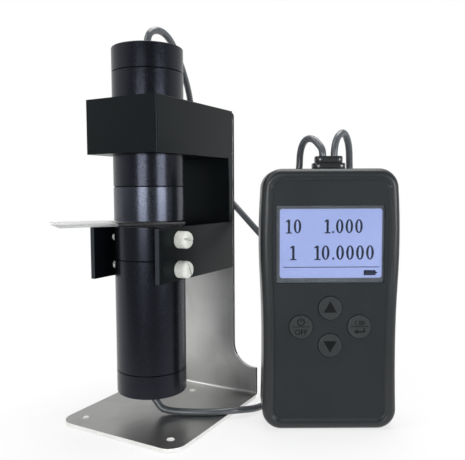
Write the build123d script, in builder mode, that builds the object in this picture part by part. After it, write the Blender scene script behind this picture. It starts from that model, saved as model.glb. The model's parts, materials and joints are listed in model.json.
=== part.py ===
"""Optical density meter: a bench stand with two facing optical heads, and the handset that reads them.

Millimetres. The origin is on the bench under the optical axis, X runs along the stand's width,
Y runs back to the upright, and Z is up.
"""
from build123d import *
from math import cos, pi, radians, sin, tan
import os

os.makedirs("parts", exist_ok=True)

# Clearances
slip_fit = 0.05
seat_gap = 0.1
body_gap = 0.3
door_gap = 0.3

# Stand, bent from one sheet
sheet = 2.0
base_front = -33.0
base_corner = 9.0
upright_face = 51.75
upright_corner = 3.0
bend_inner = 2.0
foot_shoulder = 18.5
foot_sweep = 13.6
foot_run = 1.8
base_hole_diameter = 4.0
base_hole_side = 9.8
base_hole_setback = 10.3
rear_hole_setback = 11.75

# Bracket: a bored block above, a web behind, and a clamp of two flanges below
block_height = 28.2
block_front = -23.9
throat_height = 37.7
web = 4.5
arm_height = 27.9
arm_step = 0.2
arm_front = -22.1
flange = 2.9
channel_gap = 1.0
edge_break = 0.4
block_front_break = 1.2

# Screws that hold the bracket from behind
bracket_screw_diameter = 4.0
bracket_screw_spacing = 24.0
bracket_screw_tip_gap = 0.3
bracket_screw_head = 7.6
bracket_screw_head_height = 2.5
bracket_screw_clearance = 4.5

# Grub screw that holds the upper head
grub_diameter = 4.0
grub_socket = 2.0
grub_socket_depth = 1.4

# Optical heads: the lower one stands clear of the base, and the upper one is set above it by the sample gap
head_diameter = 38.0
tube_wall = 2.5
spigot = 6.0
seam = 0.35
lamp_cap_bottom = 16.3
lamp_cap_height = 12.4
lamp_tube_length = 60.4
collar_height = 17.9
sample_gap = 2.6
nose_height = 18.2
sensor_tube_length = 59.9
sensor_cap_height = 12.9
cap_floor = 4.0

# Optics and electronics of the heads
aperture = 18.0
nose_wall = 4.45
window_thickness = 2.0
nose_lip = 1.0
ring_height = 2.0
ring_bore = 19.0
opal_diameter = 28.0
opal_thickness = 2.0
opal_recess = 0.2
opal_lip = 1.2
lens_diameter = 24.0
lens_edge = 2.0
lens_crown = 3.5
board_thickness = 1.6
can_diameter = 9.2
can_height = 4.0
small_screw_diameter = 2.0
small_screw_head = 3.8
small_screw_head_height = 1.4
small_screw_grip = 4.0
heat_sink_height = 9.0
heat_sink_drop = 19.1
star_board_diameter = 20.0
lamp_base = 7.0
lamp_base_height = 1.5
lamp_dome_radius = 2.6

# Clamp screws of nylon
clamp_thread = 4.0
clamp_y = -5.7
clamp_edge_distance = 6.25
clamp_drop = 0.25
clamp_head_diameter = 9.0
clamp_head_height = 6.9
clamp_dome = 2.4
clamp_slot_width = 1.0
clamp_slot_depth = 1.1
clamp_stand_off = 0.2
clamp_point = 1.0

# Sample plate in the gap between the heads
sample_length = 68.0
sample_width = 35.0
sample_thickness = 1.5
sample_turn = 55.0
sample_corner = (-24.0, -42.4)
sample_round = 1.0

# Cables and their grommets
cable_diameter = 3.8
lead_diameter = 3.0
grommet_neck = 9.0
grommet_flange = 12.0
grommet_lip = 1.2

# Handset, in its own width, height and depth behind the front
handset_turn = 29.33
handset_foot = (92.7, 29.7)
handset_height = 136.5
shell_wall = 2.2
half_bulge = 35.9
top_draw = 1.7
middle_draw = 0.5
waist_draw = 1.4
foot_draw = 0.4
bulge_drop = 29.5
middle_drop = 58.5
waist_height = 46.0
top_corner = 10.3
bottom_corner = 10.0
front_round = 3.4
back_round = 4.0
rim_land = 0.4
panel_slope = 2.0
panel_recess = 1.0
panel_thickness = 0.6
panel_gap = 0.15
parting_room = 1.4

# Display
window_height = 40.1
window_side_margin = 2.3
window_top_margin = 13.05
lens_thickness = 1.5
window_lip = 1.3
window_sink = 0.5
display_margin = (1.2, 1.45)
display_offset = 0.6
display_room = 0.6
display_thickness = 2.4
backlight_inset = (1.0, 1.5)
backlight_thickness = 3.2

# Buttons and their switches
button_diameter = 12.3
button_lip = 0.95
button_flange_thickness = 0.8
button_rise = 0.6
button_travel = 0.8
button_edge = 0.35
button_stem_diameter = 4.0
button_stem_length = 0.5
button_spread_x = 15.1
button_drop = 22.75
button_spread_z = 9.8
switch_body = 6.0
switch_plunger_diameter = 3.4
switch_plunger_height = 0.9

# Main board, case screws and bosses
board_side_gap = 2.8
board_low = 12.5
board_above_boss = 2.0
board_post_diameter = 5.0
board_post_x = 26.0
board_post_low = 28.0
board_post_drop = 4.7
boss_diameter = 6.5
boss_top_x = 26.5
boss_above_window = 6.35
boss_bottom = (26.0, 13.0)
boss_notch_gap = 0.95
case_screw_diameter = 2.6
case_screw_length = 11.0
case_screw_head = 4.6
case_screw_head_height = 2.0
case_screw_sink = 4.0

# Batteries
cell_diameter = 10.2
cell_length = 44.5
cell_nub_diameter = 3.6
cell_nub_height = 0.8
cell_count = 3
cell_gap = 1.0
contact_room = 1.6
bay_wall = 1.0
bay_low = 15.0
bay_room = 0.2
bay_side_room = 0.7
contact_plate = 7.0
contact_plate_thickness = 0.5
contact_stub = 5.0
door_margin = 1.8
door_thickness = 2.0
door_grooves = 5
door_groove = (14.0, 1.0, 0.4)
door_groove_pitch = 2.2

# Socket and plug
plug_middle = 0.9
socket_size = (14.0, 7.0, 10.0)
socket_cavity = (10.2, 4.7)
plug_tongue_length = 9.0
plug_lower = (17.5, 10.5, 3.2)
plug_upper = (14.8, 8.6, 3.7)
plug_round = 1.2
plug_cable_spacing = 6.1

# Sizes that follow, for the heads
head_radius = head_diameter / 2
bore_radius = head_radius - tube_wall
spigot_radius = bore_radius - slip_fit
lamp_tube_bottom = lamp_cap_bottom + lamp_cap_height
collar_bottom = lamp_tube_bottom + lamp_tube_length
collar_top = collar_bottom + collar_height
nose_bottom = collar_top + sample_gap
nose_top = nose_bottom + nose_height
sensor_tube_top = nose_top + sensor_tube_length
sensor_cap_top = sensor_tube_top + sensor_cap_height
window_diameter = 2 * (spigot_radius - nose_wall)
sensor_screw_circle = spigot_radius - nose_wall / 2
heat_sink_top = collar_bottom - heat_sink_drop

# Sizes that follow, for the stand and the bracket
channel_half = head_radius + channel_gap
half_stand = channel_half + flange
stand_width = 2 * half_stand
half_base = half_stand + foot_sweep + foot_run
base_hole_spacing = 2 * (half_base - base_hole_side)
base_hole_y = base_front + base_hole_setback
rear_hole_y = upright_face - rear_hole_setback
upright_back = upright_face + sheet
web_face = upright_face - web
arm_top = collar_top - arm_step
arm_bottom = arm_top - arm_height
block_bottom = arm_top + throat_height
block_top = block_bottom + block_height
bracket_screw_length = sheet + web - bracket_screw_tip_gap
bracket_screw_heights = ((block_bottom + block_top) / 2, (arm_bottom + arm_top) / 2)
clamp_middle_z = (arm_bottom + arm_top) / 2 - clamp_drop
clamp_spacing_z = arm_height - 2 * clamp_edge_distance

# Sizes that follow, for the handset
half_top = half_bulge - top_draw
half_middle = half_bulge - middle_draw
half_waist = half_bulge - waist_draw
half_foot = half_bulge - foot_draw
bulge_height = handset_height - bulge_drop
middle_height = handset_height - middle_drop
rim_inset = front_round + rim_land
panel_inset = rim_inset + panel_slope
recess_floor = panel_recess + panel_thickness
front_wall = recess_floor + shell_wall
window_size = (2 * (half_bulge - panel_inset - window_side_margin), window_height)
window_middle = handset_height - panel_inset - window_top_margin - window_height / 2
window_top = window_middle + window_height / 2
window_bottom = window_middle - window_height / 2
display_size = (window_size[0] + 2 * display_margin[0], window_size[1] + 2 * display_margin[1])
display_middle = window_middle + display_offset
backlight_size = (display_size[0] - 2 * backlight_inset[0], display_size[1] - 2 * backlight_inset[1])
board_depth = front_wall + display_room + display_thickness + backlight_thickness
board_back = board_depth + board_thickness
parting_depth = board_back + parting_room
bay_floor = board_back + small_screw_head_height + bay_room + bay_wall
cell_depth = bay_floor + body_gap + cell_diameter / 2
door_seat = cell_depth + cell_diameter / 2 + body_gap
handset_depth = door_seat + door_thickness
socket_depth = board_back + socket_size[1] / 2
button_flange = button_diameter + 2 * button_lip
button_middle = window_bottom - button_drop
boss_top = (boss_top_x, window_top + boss_above_window)
boss_notch = boss_diameter / 2 + boss_notch_gap
board_width = 2 * (half_waist - shell_wall - board_side_gap)
board_high = boss_top[1] + board_above_boss
board_post_heights = (board_post_low, display_middle - display_size[1] / 2 - board_post_drop)
cell_pitch = cell_diameter + cell_gap
bay_length = cell_length + cell_nub_height + 2 * contact_room
turn = radians(handset_turn)
face = Plane(
    origin=(handset_foot[0], handset_foot[1], 0),
    x_dir=(cos(turn), sin(turn), 0),
    z_dir=(sin(turn), -cos(turn), 0),
)

LOW = (Align.CENTER, Align.CENTER, Align.MIN)
HIGH = (Align.CENTER, Align.CENTER, Align.MAX)


def save(piece, name):
    """Label a finished piece and write it."""
    piece.part.label = name
    export_step(piece.part, f"parts/{name}.step")


def turn_outline(*outline, mode=Mode.ADD):
    """Turn a closed outline of (radius, height) points about the optical axis."""
    with BuildSketch(Plane.XZ) as section:
        with BuildLine():
            Polyline(*outline, close=True)
        make_face()
    revolve(section.sketch, axis=Axis.Z, mode=mode)


def ring(inner, outer, low, high, mode=Mode.ADD):
    """Turn a plain ring, or a disc where the inner radius is 0."""
    turn_outline((inner, low), (outer, low), (outer, high), (inner, high), mode=mode)


def break_rims(piece, *heights):
    """Take the sharp edge off the outer rims of a turned piece at the given heights."""
    rims = piece.edges().filter_by(GeomType.CIRCLE).filter_by(
        lambda edge: abs(edge.radius - head_radius) < slip_fit
        and any(abs(edge.center().Z - height) < slip_fit for height in heights)
    )
    chamfer(rims, seam)


def screw(shank, length, head, head_height):
    """A cross-recess screw with the underside of its head at the local origin and its shank below."""
    Cylinder(head / 2, head_height, align=LOW)
    Cylinder(shank / 2, length, align=HIGH)
    with Locations((0, 0, head_height)):
        Box(head * 0.55, head * 0.14, head_height * 0.5, align=HIGH, mode=Mode.SUBTRACT)
        Box(head * 0.14, head * 0.55, head_height * 0.5, align=HIGH, mode=Mode.SUBTRACT)


def behind(depth):
    """The handset's plane at a depth behind its front."""
    return face.offset(-depth)


def outline(depth, inset=0.0):
    """The handset's waisted outline at a depth behind its front, drawn in by an inset."""
    with BuildSketch(behind(depth)) as shape:
        with BuildLine():
            upper = ThreePointArc(
                (half_top, handset_height), (half_bulge, bulge_height), (half_middle, middle_height)
            )
            waist = TangentArc(upper @ 1, (half_waist, waist_height), tangent=upper % 1)
            lower = TangentArc(waist @ 1, (half_foot, 0), tangent=waist % 1)
            Line(lower @ 1, (0, 0))
            Line((0, 0), (0, handset_height))
            Line((0, handset_height), upper @ 0)
        make_face()
        fillet(shape.vertices().group_by(Axis.Y)[-1].sort_by(Axis.X)[-1], top_corner)
        fillet(shape.vertices().group_by(Axis.Y)[0].sort_by(Axis.X)[-1], bottom_corner)
        mirror(about=Plane.YZ)
        if inset:
            offset(amount=-inset, kind=Kind.INTERSECTION, mode=Mode.REPLACE)
    return shape.sketch


def tube_route(points):
    """A path of straight runs and tangent arcs, each arc as large as its runs allow, and its arc radii."""
    corners = [Vector(*point) for point in points]
    radii = []
    for before, corner, after in zip(corners, corners[1:], corners[2:]):
        arriving = corner - before
        leaving = after - corner
        half_turn = radians(arriving.get_angle(leaving)) / 2
        radii.append(0.45 * min(arriving.length, leaving.length) / tan(half_turn))
    return corners, radii


def cable(points, name):
    """A cable along its route, with its radii and its volume against its length printed."""
    corners, radii = tube_route(points)
    with BuildPart() as piece:
        with BuildLine() as path:
            FilletPolyline(*corners, radius=radii)
        with BuildSketch(Plane(origin=path.line @ 0, z_dir=path.line % 0)):
            Circle(cable_diameter / 2)
        sweep(path=path.line)
    length = path.wires()[0].length
    ratio = piece.part.volume / (pi * cable_diameter**2 / 4 * length)
    print(f"{name}: length {length:.1f}, least radius {min(radii):.1f}, volume ratio {ratio:.4f}")
    print("  radii", [round(radius, 1) for radius in radii])
    return piece


def from_handset(across, depth, height):
    """A point given by the handset's width, depth and height, in the stand's frame."""
    return tuple(face.from_local_coords((across, height, -depth)))


# Stand plate
with BuildPart() as stand_plate:
    with BuildSketch(Plane.YZ) as side:
        with BuildLine():
            Polyline(
                (base_front, 0),
                (upright_back, 0),
                (upright_back, block_top),
                (upright_face, block_top),
                (upright_face, sheet),
                (base_front, sheet),
                close=True,
            )
        make_face()
        inner_bend = side.vertices().sort_by_distance((upright_face, sheet))[0]
        fillet(inner_bend, bend_inner)
        outer_bend = side.vertices().sort_by_distance((upright_back, 0))[0]
        fillet(outer_bend, bend_inner + sheet)
    extrude(amount=half_base, both=True)
    with BuildSketch(Plane.XZ):
        with BuildLine():
            Line((half_stand, block_top + sheet), (half_stand, foot_shoulder + foot_sweep))
            CenterArc((half_stand + foot_sweep, foot_shoulder + foot_sweep), foot_sweep, 180, 90)
            Polyline(
                (half_stand + foot_sweep, foot_shoulder),
                (half_base + sheet, foot_shoulder),
                (half_base + sheet, block_top + sheet),
                (half_stand, block_top + sheet),
            )
        make_face()
        mirror(about=Plane.YZ)
    extrude(amount=-(upright_back + sheet), mode=Mode.SUBTRACT)
    fillet(stand_plate.edges().filter_by(Axis.Z).group_by(Axis.Y)[0], base_corner)
    fillet(stand_plate.edges().filter_by(Axis.Y).group_by(Axis.Z)[-1], upright_corner)
    with Locations((0, base_hole_y, sheet)):
        with GridLocations(base_hole_spacing, 0, 2, 1):
            Hole(base_hole_diameter / 2, depth=sheet)
    with Locations((0, rear_hole_y, sheet)):
        Hole(base_hole_diameter / 2, depth=sheet)
    for height in bracket_screw_heights:
        with Locations(Plane(origin=(0, upright_back, height), x_dir=(1, 0, 0), z_dir=(0, 1, 0))):
            with GridLocations(bracket_screw_spacing, 0, 2, 1):
                Hole(bracket_screw_clearance / 2, depth=sheet)
save(stand_plate, "stand_plate")

# Bracket
with BuildPart() as bracket:
    with BuildSketch(Plane.YZ):
        with BuildLine():
            Polyline(
                (block_front, block_bottom),
                (block_front, block_top),
                (upright_face, block_top),
                (upright_face, arm_bottom),
                (arm_front, arm_bottom),
                (arm_front, arm_top),
                (web_face, arm_top),
                (web_face, block_bottom),
                close=True,
            )
        make_face()
    extrude(amount=half_stand, both=True)
    block_front_edges = bracket.edges().filter_by(Axis.Z).group_by(Axis.Y)[0]
    chamfer(block_front_edges, block_front_break)
    side_edges = bracket.faces().filter_by(Axis.X).edges()
    chamfer(side_edges, edge_break)
    with Locations((0, 0, block_top)):
        Hole(head_radius + seat_gap, depth=block_top - block_bottom)
    with Locations((0, arm_front, arm_bottom)):
        Box(
            2 * channel_half,
            web_face - arm_front,
            arm_top - arm_bottom,
            align=(Align.CENTER, Align.MIN, Align.MIN),
            mode=Mode.SUBTRACT,
        )
    with Locations(Plane(origin=(half_stand, clamp_y, clamp_middle_z), x_dir=(0, 1, 0), z_dir=(1, 0, 0))):
        with GridLocations(0, clamp_spacing_z, 1, 2):
            Hole(clamp_thread / 2 + slip_fit, depth=stand_width)
    for height in bracket_screw_heights:
        with Locations(Plane(origin=(0, upright_face, height), x_dir=(1, 0, 0), z_dir=(0, 1, 0))):
            with GridLocations(bracket_screw_spacing, 0, 2, 1):
                Hole(bracket_screw_diameter / 2 + slip_fit, depth=web)
    with Locations(
        Plane(origin=(-half_stand, 0, bracket_screw_heights[0]), x_dir=(0, 1, 0), z_dir=(-1, 0, 0))
    ):
        Hole(grub_diameter / 2 + slip_fit, depth=half_stand - head_radius)
save(bracket, "bracket")

with BuildPart() as bracket_screws:
    for height in bracket_screw_heights:
        with Locations(Plane(origin=(0, upright_back, height), x_dir=(1, 0, 0), z_dir=(0, 1, 0))):
            with GridLocations(bracket_screw_spacing, 0, 2, 1):
                screw(
                    bracket_screw_diameter,
                    bracket_screw_length,
                    bracket_screw_head,
                    bracket_screw_head_height,
                )
save(bracket_screws, "bracket_screws")

grub_end = half_stand - edge_break
grub_plane = Plane(
    origin=(-grub_end, 0, bracket_screw_heights[0]), x_dir=(0, 1, 0), z_dir=(-1, 0, 0)
)
with BuildPart(grub_plane) as grub_screw:
    Cylinder(grub_diameter / 2, grub_end - head_radius - slip_fit, align=HIGH)
    with BuildSketch(grub_plane) as socket_hexagon:
        RegularPolygon(grub_socket / 2, 6, major_radius=False)
    extrude(socket_hexagon.sketch, amount=-grub_socket_depth, mode=Mode.SUBTRACT)
save(grub_screw, "grub_screw")

# Upper head: it receives the light that comes through the sample
with BuildPart() as sensor_nose:
    ring(0, head_radius, nose_bottom, nose_top)
    ring(0, spigot_radius, nose_top, nose_top + spigot)
    ring(0, aperture / 2, nose_bottom, nose_bottom + nose_lip, mode=Mode.SUBTRACT)
    ring(0, window_diameter / 2 + slip_fit, nose_bottom + nose_lip, nose_top + spigot, mode=Mode.SUBTRACT)
    with Locations((0, 0, nose_top + spigot)):
        with PolarLocations(sensor_screw_circle, 3):
            Hole(small_screw_diameter / 2 + slip_fit, depth=spigot)
    break_rims(sensor_nose, nose_bottom, nose_top)
save(sensor_nose, "sensor_nose")

window_low = nose_bottom + nose_lip
with BuildPart() as sensor_window:
    ring(0, window_diameter / 2, window_low, window_low + window_thickness)
save(sensor_window, "sensor_window")

with BuildPart() as sensor_window_ring:
    ring(
        ring_bore / 2,
        window_diameter / 2,
        window_low + window_thickness,
        window_low + window_thickness + ring_height,
    )
save(sensor_window_ring, "sensor_window_ring")

sensor_board_low = nose_top + spigot
sensor_board_top = sensor_board_low + board_thickness
with BuildPart() as sensor_board:
    ring(0, bore_radius - seat_gap, sensor_board_low, sensor_board_top)
    with Locations((0, 0, sensor_board_top)):
        with PolarLocations(sensor_screw_circle, 3):
            Hole(small_screw_diameter / 2 + seat_gap, depth=board_thickness)
save(sensor_board, "sensor_board")

with BuildPart() as sensor_can:
    ring(0, can_diameter / 2, sensor_board_low - can_height, sensor_board_low)
save(sensor_can, "sensor_can")

with BuildPart() as sensor_board_screws:
    with Locations((0, 0, sensor_board_top)):
        with PolarLocations(sensor_screw_circle, 3):
            screw(
                small_screw_diameter,
                small_screw_grip + board_thickness,
                small_screw_head,
                small_screw_head_height,
            )
save(sensor_board_screws, "sensor_board_screws")

with BuildPart() as sensor_tube:
    ring(bore_radius, head_radius, nose_top, sensor_tube_top)
    break_rims(sensor_tube, nose_top, sensor_tube_top)
save(sensor_tube, "sensor_tube")

with BuildPart() as sensor_cap:
    ring(0, head_radius, sensor_tube_top, sensor_cap_top)
    ring(0, spigot_radius, sensor_tube_top - spigot, sensor_tube_top)
    ring(
        0,
        bore_radius - tube_wall,
        sensor_tube_top - spigot,
        sensor_cap_top - cap_floor,
        mode=Mode.SUBTRACT,
    )
    ring(0, grommet_neck / 2 + slip_fit, sensor_cap_top - cap_floor, sensor_cap_top, mode=Mode.SUBTRACT)
    break_rims(sensor_cap, sensor_tube_top, sensor_cap_top)
save(sensor_cap, "sensor_cap")

with BuildPart() as sensor_grommet:
    ring(0, grommet_flange / 2, sensor_cap_top, sensor_cap_top + grommet_lip)
    ring(0, grommet_neck / 2, sensor_cap_top - cap_floor, sensor_cap_top)
    ring(
        0,
        grommet_flange / 2,
        sensor_cap_top - cap_floor - grommet_lip,
        sensor_cap_top - cap_floor,
    )
save(sensor_grommet, "sensor_grommet")

with BuildPart() as sensor_lead:
    ring(0, lead_diameter / 2, sensor_board_top, sensor_cap_top - cap_floor - grommet_lip)
save(sensor_lead, "sensor_lead")

# Lower head: it lights the sample from below
opal_top = collar_top - opal_recess
opal_low = opal_top - opal_thickness
lens_seat = opal_low - opal_lip
lens_low = lens_seat - lens_crown - lens_edge
with BuildPart() as lamp_collar:
    ring(0, head_radius, collar_bottom, collar_top)
    ring(0, spigot_radius, collar_bottom - spigot, collar_bottom)
    ring(0, opal_diameter / 2 + slip_fit, opal_low, collar_top, mode=Mode.SUBTRACT)
    ring(0, lens_diameter / 2 - opal_lip, lens_seat, opal_low, mode=Mode.SUBTRACT)
    ring(0, lens_diameter / 2 + slip_fit, collar_bottom - spigot, lens_seat, mode=Mode.SUBTRACT)
    break_rims(lamp_collar, collar_bottom, collar_top)
save(lamp_collar, "lamp_collar")

with BuildPart() as opal_window:
    ring(0, opal_diameter / 2, opal_low, opal_top)
save(opal_window, "opal_window")

lens_curve = ((lens_diameter / 2) ** 2 + lens_crown**2) / (2 * lens_crown)
with BuildPart() as condenser_lens:
    ring(0, lens_diameter / 2, lens_low, lens_seat)
    with Locations((0, 0, lens_seat - lens_curve)):
        Sphere(lens_curve, mode=Mode.INTERSECT)
save(condenser_lens, "condenser_lens")

with BuildPart() as lens_ring:
    ring(ring_bore / 2, lens_diameter / 2, lens_low - ring_height, lens_low)
save(lens_ring, "lens_ring")

with BuildPart() as lamp_tube:
    ring(bore_radius, head_radius, lamp_tube_bottom, collar_bottom)
    break_rims(lamp_tube, lamp_tube_bottom, collar_bottom)
save(lamp_tube, "lamp_tube")

with BuildPart() as heat_sink:
    ring(0, bore_radius - slip_fit, heat_sink_top - heat_sink_height, heat_sink_top)
    with Locations((0, 0, heat_sink_top)):
        Hole(lead_diameter / 2 + seat_gap, depth=heat_sink_height)
save(heat_sink, "heat_sink")

star_board_top = heat_sink_top + board_thickness
with BuildPart() as lamp_board:
    ring(0, star_board_diameter / 2, heat_sink_top, star_board_top)
save(lamp_board, "lamp_board")

with BuildPart() as lamp:
    with Locations((0, 0, star_board_top)):
        Box(lamp_base, lamp_base, lamp_base_height, align=LOW)
    with Locations((0, 0, star_board_top + lamp_base_height)):
        Sphere(lamp_dome_radius, arc_size1=0, align=LOW)
save(lamp, "lamp")

with BuildPart() as lamp_cap:
    ring(0, head_radius, lamp_cap_bottom, lamp_tube_bottom)
    ring(0, spigot_radius, lamp_tube_bottom, lamp_tube_bottom + spigot)
    ring(
        0,
        bore_radius - tube_wall,
        lamp_cap_bottom + cap_floor,
        lamp_tube_bottom + spigot,
        mode=Mode.SUBTRACT,
    )
    ring(0, grommet_neck / 2 + slip_fit, lamp_cap_bottom, lamp_cap_bottom + cap_floor, mode=Mode.SUBTRACT)
    break_rims(lamp_cap, lamp_cap_bottom, lamp_tube_bottom)
save(lamp_cap, "lamp_cap")

with BuildPart() as lamp_grommet:
    ring(0, grommet_flange / 2, lamp_cap_bottom - grommet_lip, lamp_cap_bottom)
    ring(0, grommet_neck / 2, lamp_cap_bottom, lamp_cap_bottom + cap_floor)
    ring(
        0,
        grommet_flange / 2,
        lamp_cap_bottom + cap_floor,
        lamp_cap_bottom + cap_floor + grommet_lip,
    )
save(lamp_grommet, "lamp_grommet")

with BuildPart() as lamp_lead:
    ring(0, lead_diameter / 2, lamp_cap_bottom + cap_floor + grommet_lip, heat_sink_top)
save(lamp_lead, "lamp_lead")

# Clamp screws: their points stop short of the lower head, where the head is nearest to them
nearest_y = abs(clamp_y) - clamp_thread / 2 + clamp_point
head_side = (head_radius**2 - nearest_y**2) ** 0.5
clamp_seat = half_stand + clamp_stand_off
clamp_length = clamp_seat - head_side - body_gap
for side_name, direction in (("right", 1), ("left", -1)):
    for level_name, height in (
        ("upper", clamp_middle_z + clamp_spacing_z / 2),
        ("lower", clamp_middle_z - clamp_spacing_z / 2),
    ):
        seat = Plane(
            origin=(direction * clamp_seat, clamp_y, height), x_dir=(0, 0, 1), z_dir=(direction, 0, 0)
        )
        outward = Axis((0, 0, 0), (direction, 0, 0))
        with BuildPart(seat) as clamp_screw:
            Cylinder(clamp_head_diameter / 2, clamp_head_height, align=LOW)
            fillet(clamp_screw.edges().filter_by(GeomType.CIRCLE).sort_by(outward)[-1], clamp_dome)
            Cylinder(clamp_thread / 2, clamp_length, align=HIGH)
            chamfer(clamp_screw.edges().filter_by(GeomType.CIRCLE).sort_by(outward)[0], clamp_point)
            with Locations((0, 0, clamp_head_height)):
                Box(
                    clamp_head_diameter,
                    clamp_slot_width,
                    clamp_slot_depth,
                    align=HIGH,
                    mode=Mode.SUBTRACT,
                )
        save(clamp_screw, f"clamp_screw_{side_name}_{level_name}")

# Sample plate, lying on the lower head
sample_plane = Plane(
    origin=(sample_corner[0], sample_corner[1], collar_top),
    x_dir=(cos(radians(sample_turn)), sin(radians(sample_turn)), 0),
    z_dir=(0, 0, 1),
)
with BuildPart() as sample_plate:
    with BuildSketch(sample_plane) as sheet_outline:
        Rectangle(sample_length, sample_width, align=(Align.MIN, Align.MIN))
        fillet(sheet_outline.vertices(), sample_round)
    extrude(amount=sample_thickness)
save(sample_plate, "sample_plate")

# Handset front shell
buttons = {
    "up": (0, button_middle + button_spread_z),
    "down": (0, button_middle - button_spread_z),
    "power": (-button_spread_x, button_middle),
    "enter": (button_spread_x, button_middle),
}
button_hole = button_diameter / 2 + body_gap / 2
bosses = [(side * point[0], point[1]) for side in (-1, 1) for point in (boss_top, boss_bottom)]
posts = [(side * board_post_x, height) for side in (-1, 1) for height in board_post_heights]
lens_front = panel_recess + window_sink
lens_back = lens_front + lens_thickness
plug_opening = (socket_size[0] - 2, socket_size[1])
with BuildPart() as front_shell:
    extrude(outline(parting_depth), amount=parting_depth)
    front_edges = front_shell.faces().sort_by(Axis(face.origin, face.z_dir))[-1].edges()
    fillet(front_edges, front_round)
    loft(
        sections=[outline(0, rim_inset), outline(recess_floor, panel_inset)],
        ruled=True,
        mode=Mode.SUBTRACT,
    )
    extrude(outline(parting_depth, shell_wall), amount=parting_depth - front_wall, mode=Mode.SUBTRACT)
    with BuildSketch(behind(parting_depth)) as boss_rounds:
        with Locations(*bosses):
            Circle(boss_diameter / 2)
    extrude(boss_rounds.sketch, amount=parting_depth - front_wall)
    with BuildSketch(behind(board_depth)) as post_rounds:
        with Locations(*posts):
            Circle(board_post_diameter / 2)
    extrude(post_rounds.sketch, amount=board_depth - front_wall)
    with Locations(behind(parting_depth)):
        with Locations(*[(*boss, 0) for boss in bosses]):
            Cylinder(
                case_screw_diameter / 2 + slip_fit,
                parting_depth - front_wall,
                align=LOW,
                mode=Mode.SUBTRACT,
            )
    with Locations(behind(board_depth)):
        with Locations(*[(*post, 0) for post in posts]):
            Cylinder(
                small_screw_diameter / 2 + slip_fit,
                board_depth - front_wall,
                align=LOW,
                mode=Mode.SUBTRACT,
            )
    with Locations(behind(lens_back)):
        with Locations((0, window_middle, 0)):
            Box(*window_size, lens_back, align=LOW, mode=Mode.SUBTRACT)
    with Locations(behind(front_wall)):
        with Locations((0, window_middle, 0)):
            Box(
                window_size[0] - 2 * window_lip,
                window_size[1] - 2 * window_lip,
                front_wall,
                align=LOW,
                mode=Mode.SUBTRACT,
            )
        with Locations(*[(*place, 0) for place in buttons.values()]):
            Cylinder(button_hole, front_wall, align=LOW, mode=Mode.SUBTRACT)
    with Locations(behind(socket_depth)):
        with Locations((plug_middle, handset_height, 0)):
            Box(plug_opening[0], 3 * shell_wall, plug_opening[1], mode=Mode.SUBTRACT)
save(front_shell, "front_shell")

with BuildPart() as face_panel:
    extrude(outline(recess_floor, panel_inset + panel_gap), amount=panel_thickness)
    with Locations(behind(recess_floor)):
        with Locations((0, window_middle, 0)):
            Box(*window_size, panel_thickness, align=LOW, mode=Mode.SUBTRACT)
        with Locations(*[(*place, 0) for place in buttons.values()]):
            Cylinder(button_hole, panel_thickness, align=LOW, mode=Mode.SUBTRACT)
save(face_panel, "face_panel")

with BuildPart() as display_window:
    with Locations(behind(lens_back)):
        with Locations((0, window_middle, 0)):
            Box(
                window_size[0] - 2 * seat_gap, window_size[1] - 2 * seat_gap, lens_thickness, align=LOW
            )
save(display_window, "display_window")

backlight_front = board_depth - backlight_thickness
with BuildPart() as backlight:
    with Locations(behind(board_depth)):
        with Locations((0, display_middle, 0)):
            Box(*backlight_size, backlight_thickness, align=LOW)
save(backlight, "backlight")

with BuildPart() as display_glass:
    with Locations(behind(backlight_front)):
        with Locations((0, display_middle, 0)):
            Box(*display_size, display_thickness, align=LOW)
save(display_glass, "display_glass")

with BuildPart() as main_board:
    with BuildSketch(behind(board_back)):
        with Locations((0, (board_low + board_high) / 2)):
            Rectangle(board_width, board_high - board_low)
        with Locations(*bosses):
            Circle(boss_notch, mode=Mode.SUBTRACT)
        with Locations(*posts):
            Circle(small_screw_diameter / 2 + seat_gap, mode=Mode.SUBTRACT)
    extrude(amount=board_thickness)
save(main_board, "main_board")

with BuildPart() as board_screws:
    for post in posts:
        with Locations(
            Plane(origin=from_handset(post[0], board_back, post[1]), x_dir=face.x_dir, z_dir=-face.z_dir)
        ):
            screw(
                small_screw_diameter,
                small_screw_grip + board_thickness,
                small_screw_head,
                small_screw_head_height,
            )
save(board_screws, "board_screws")

behind_buttons = board_depth - front_wall - seat_gap - button_flange_thickness
switch_front = behind_buttons - button_stem_length - button_travel - body_gap
with BuildPart() as key_switches:
    with Locations(behind(board_depth)):
        with Locations(*[(*place, 0) for place in buttons.values()]):
            Box(switch_body, switch_body, switch_front - switch_plunger_height, align=LOW)
            Cylinder(switch_plunger_diameter / 2, switch_front, align=LOW)
save(key_switches, "key_switches")

# Buttons: the flange rests behind the front wall
flange_front = front_wall + seat_gap
flange_back = flange_front + button_flange_thickness
button_front = panel_recess - button_rise
for button_name, place in buttons.items():
    button_plane = Plane(
        origin=from_handset(place[0], flange_back, place[1]), x_dir=face.x_dir, z_dir=face.z_dir
    )
    with BuildPart(button_plane) as button:
        Cylinder(button_diameter / 2, flange_back - button_front, align=LOW)
        outer_rim = button.edges().filter_by(GeomType.CIRCLE).sort_by(Axis(face.origin, face.z_dir))[-1]
        fillet(outer_rim, button_edge)
        Cylinder(button_flange / 2, button_flange_thickness, align=LOW)
        Cylinder(button_stem_diameter / 2, button_stem_length, align=HIGH)
    save(button, f"button_{button_name}")

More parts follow.
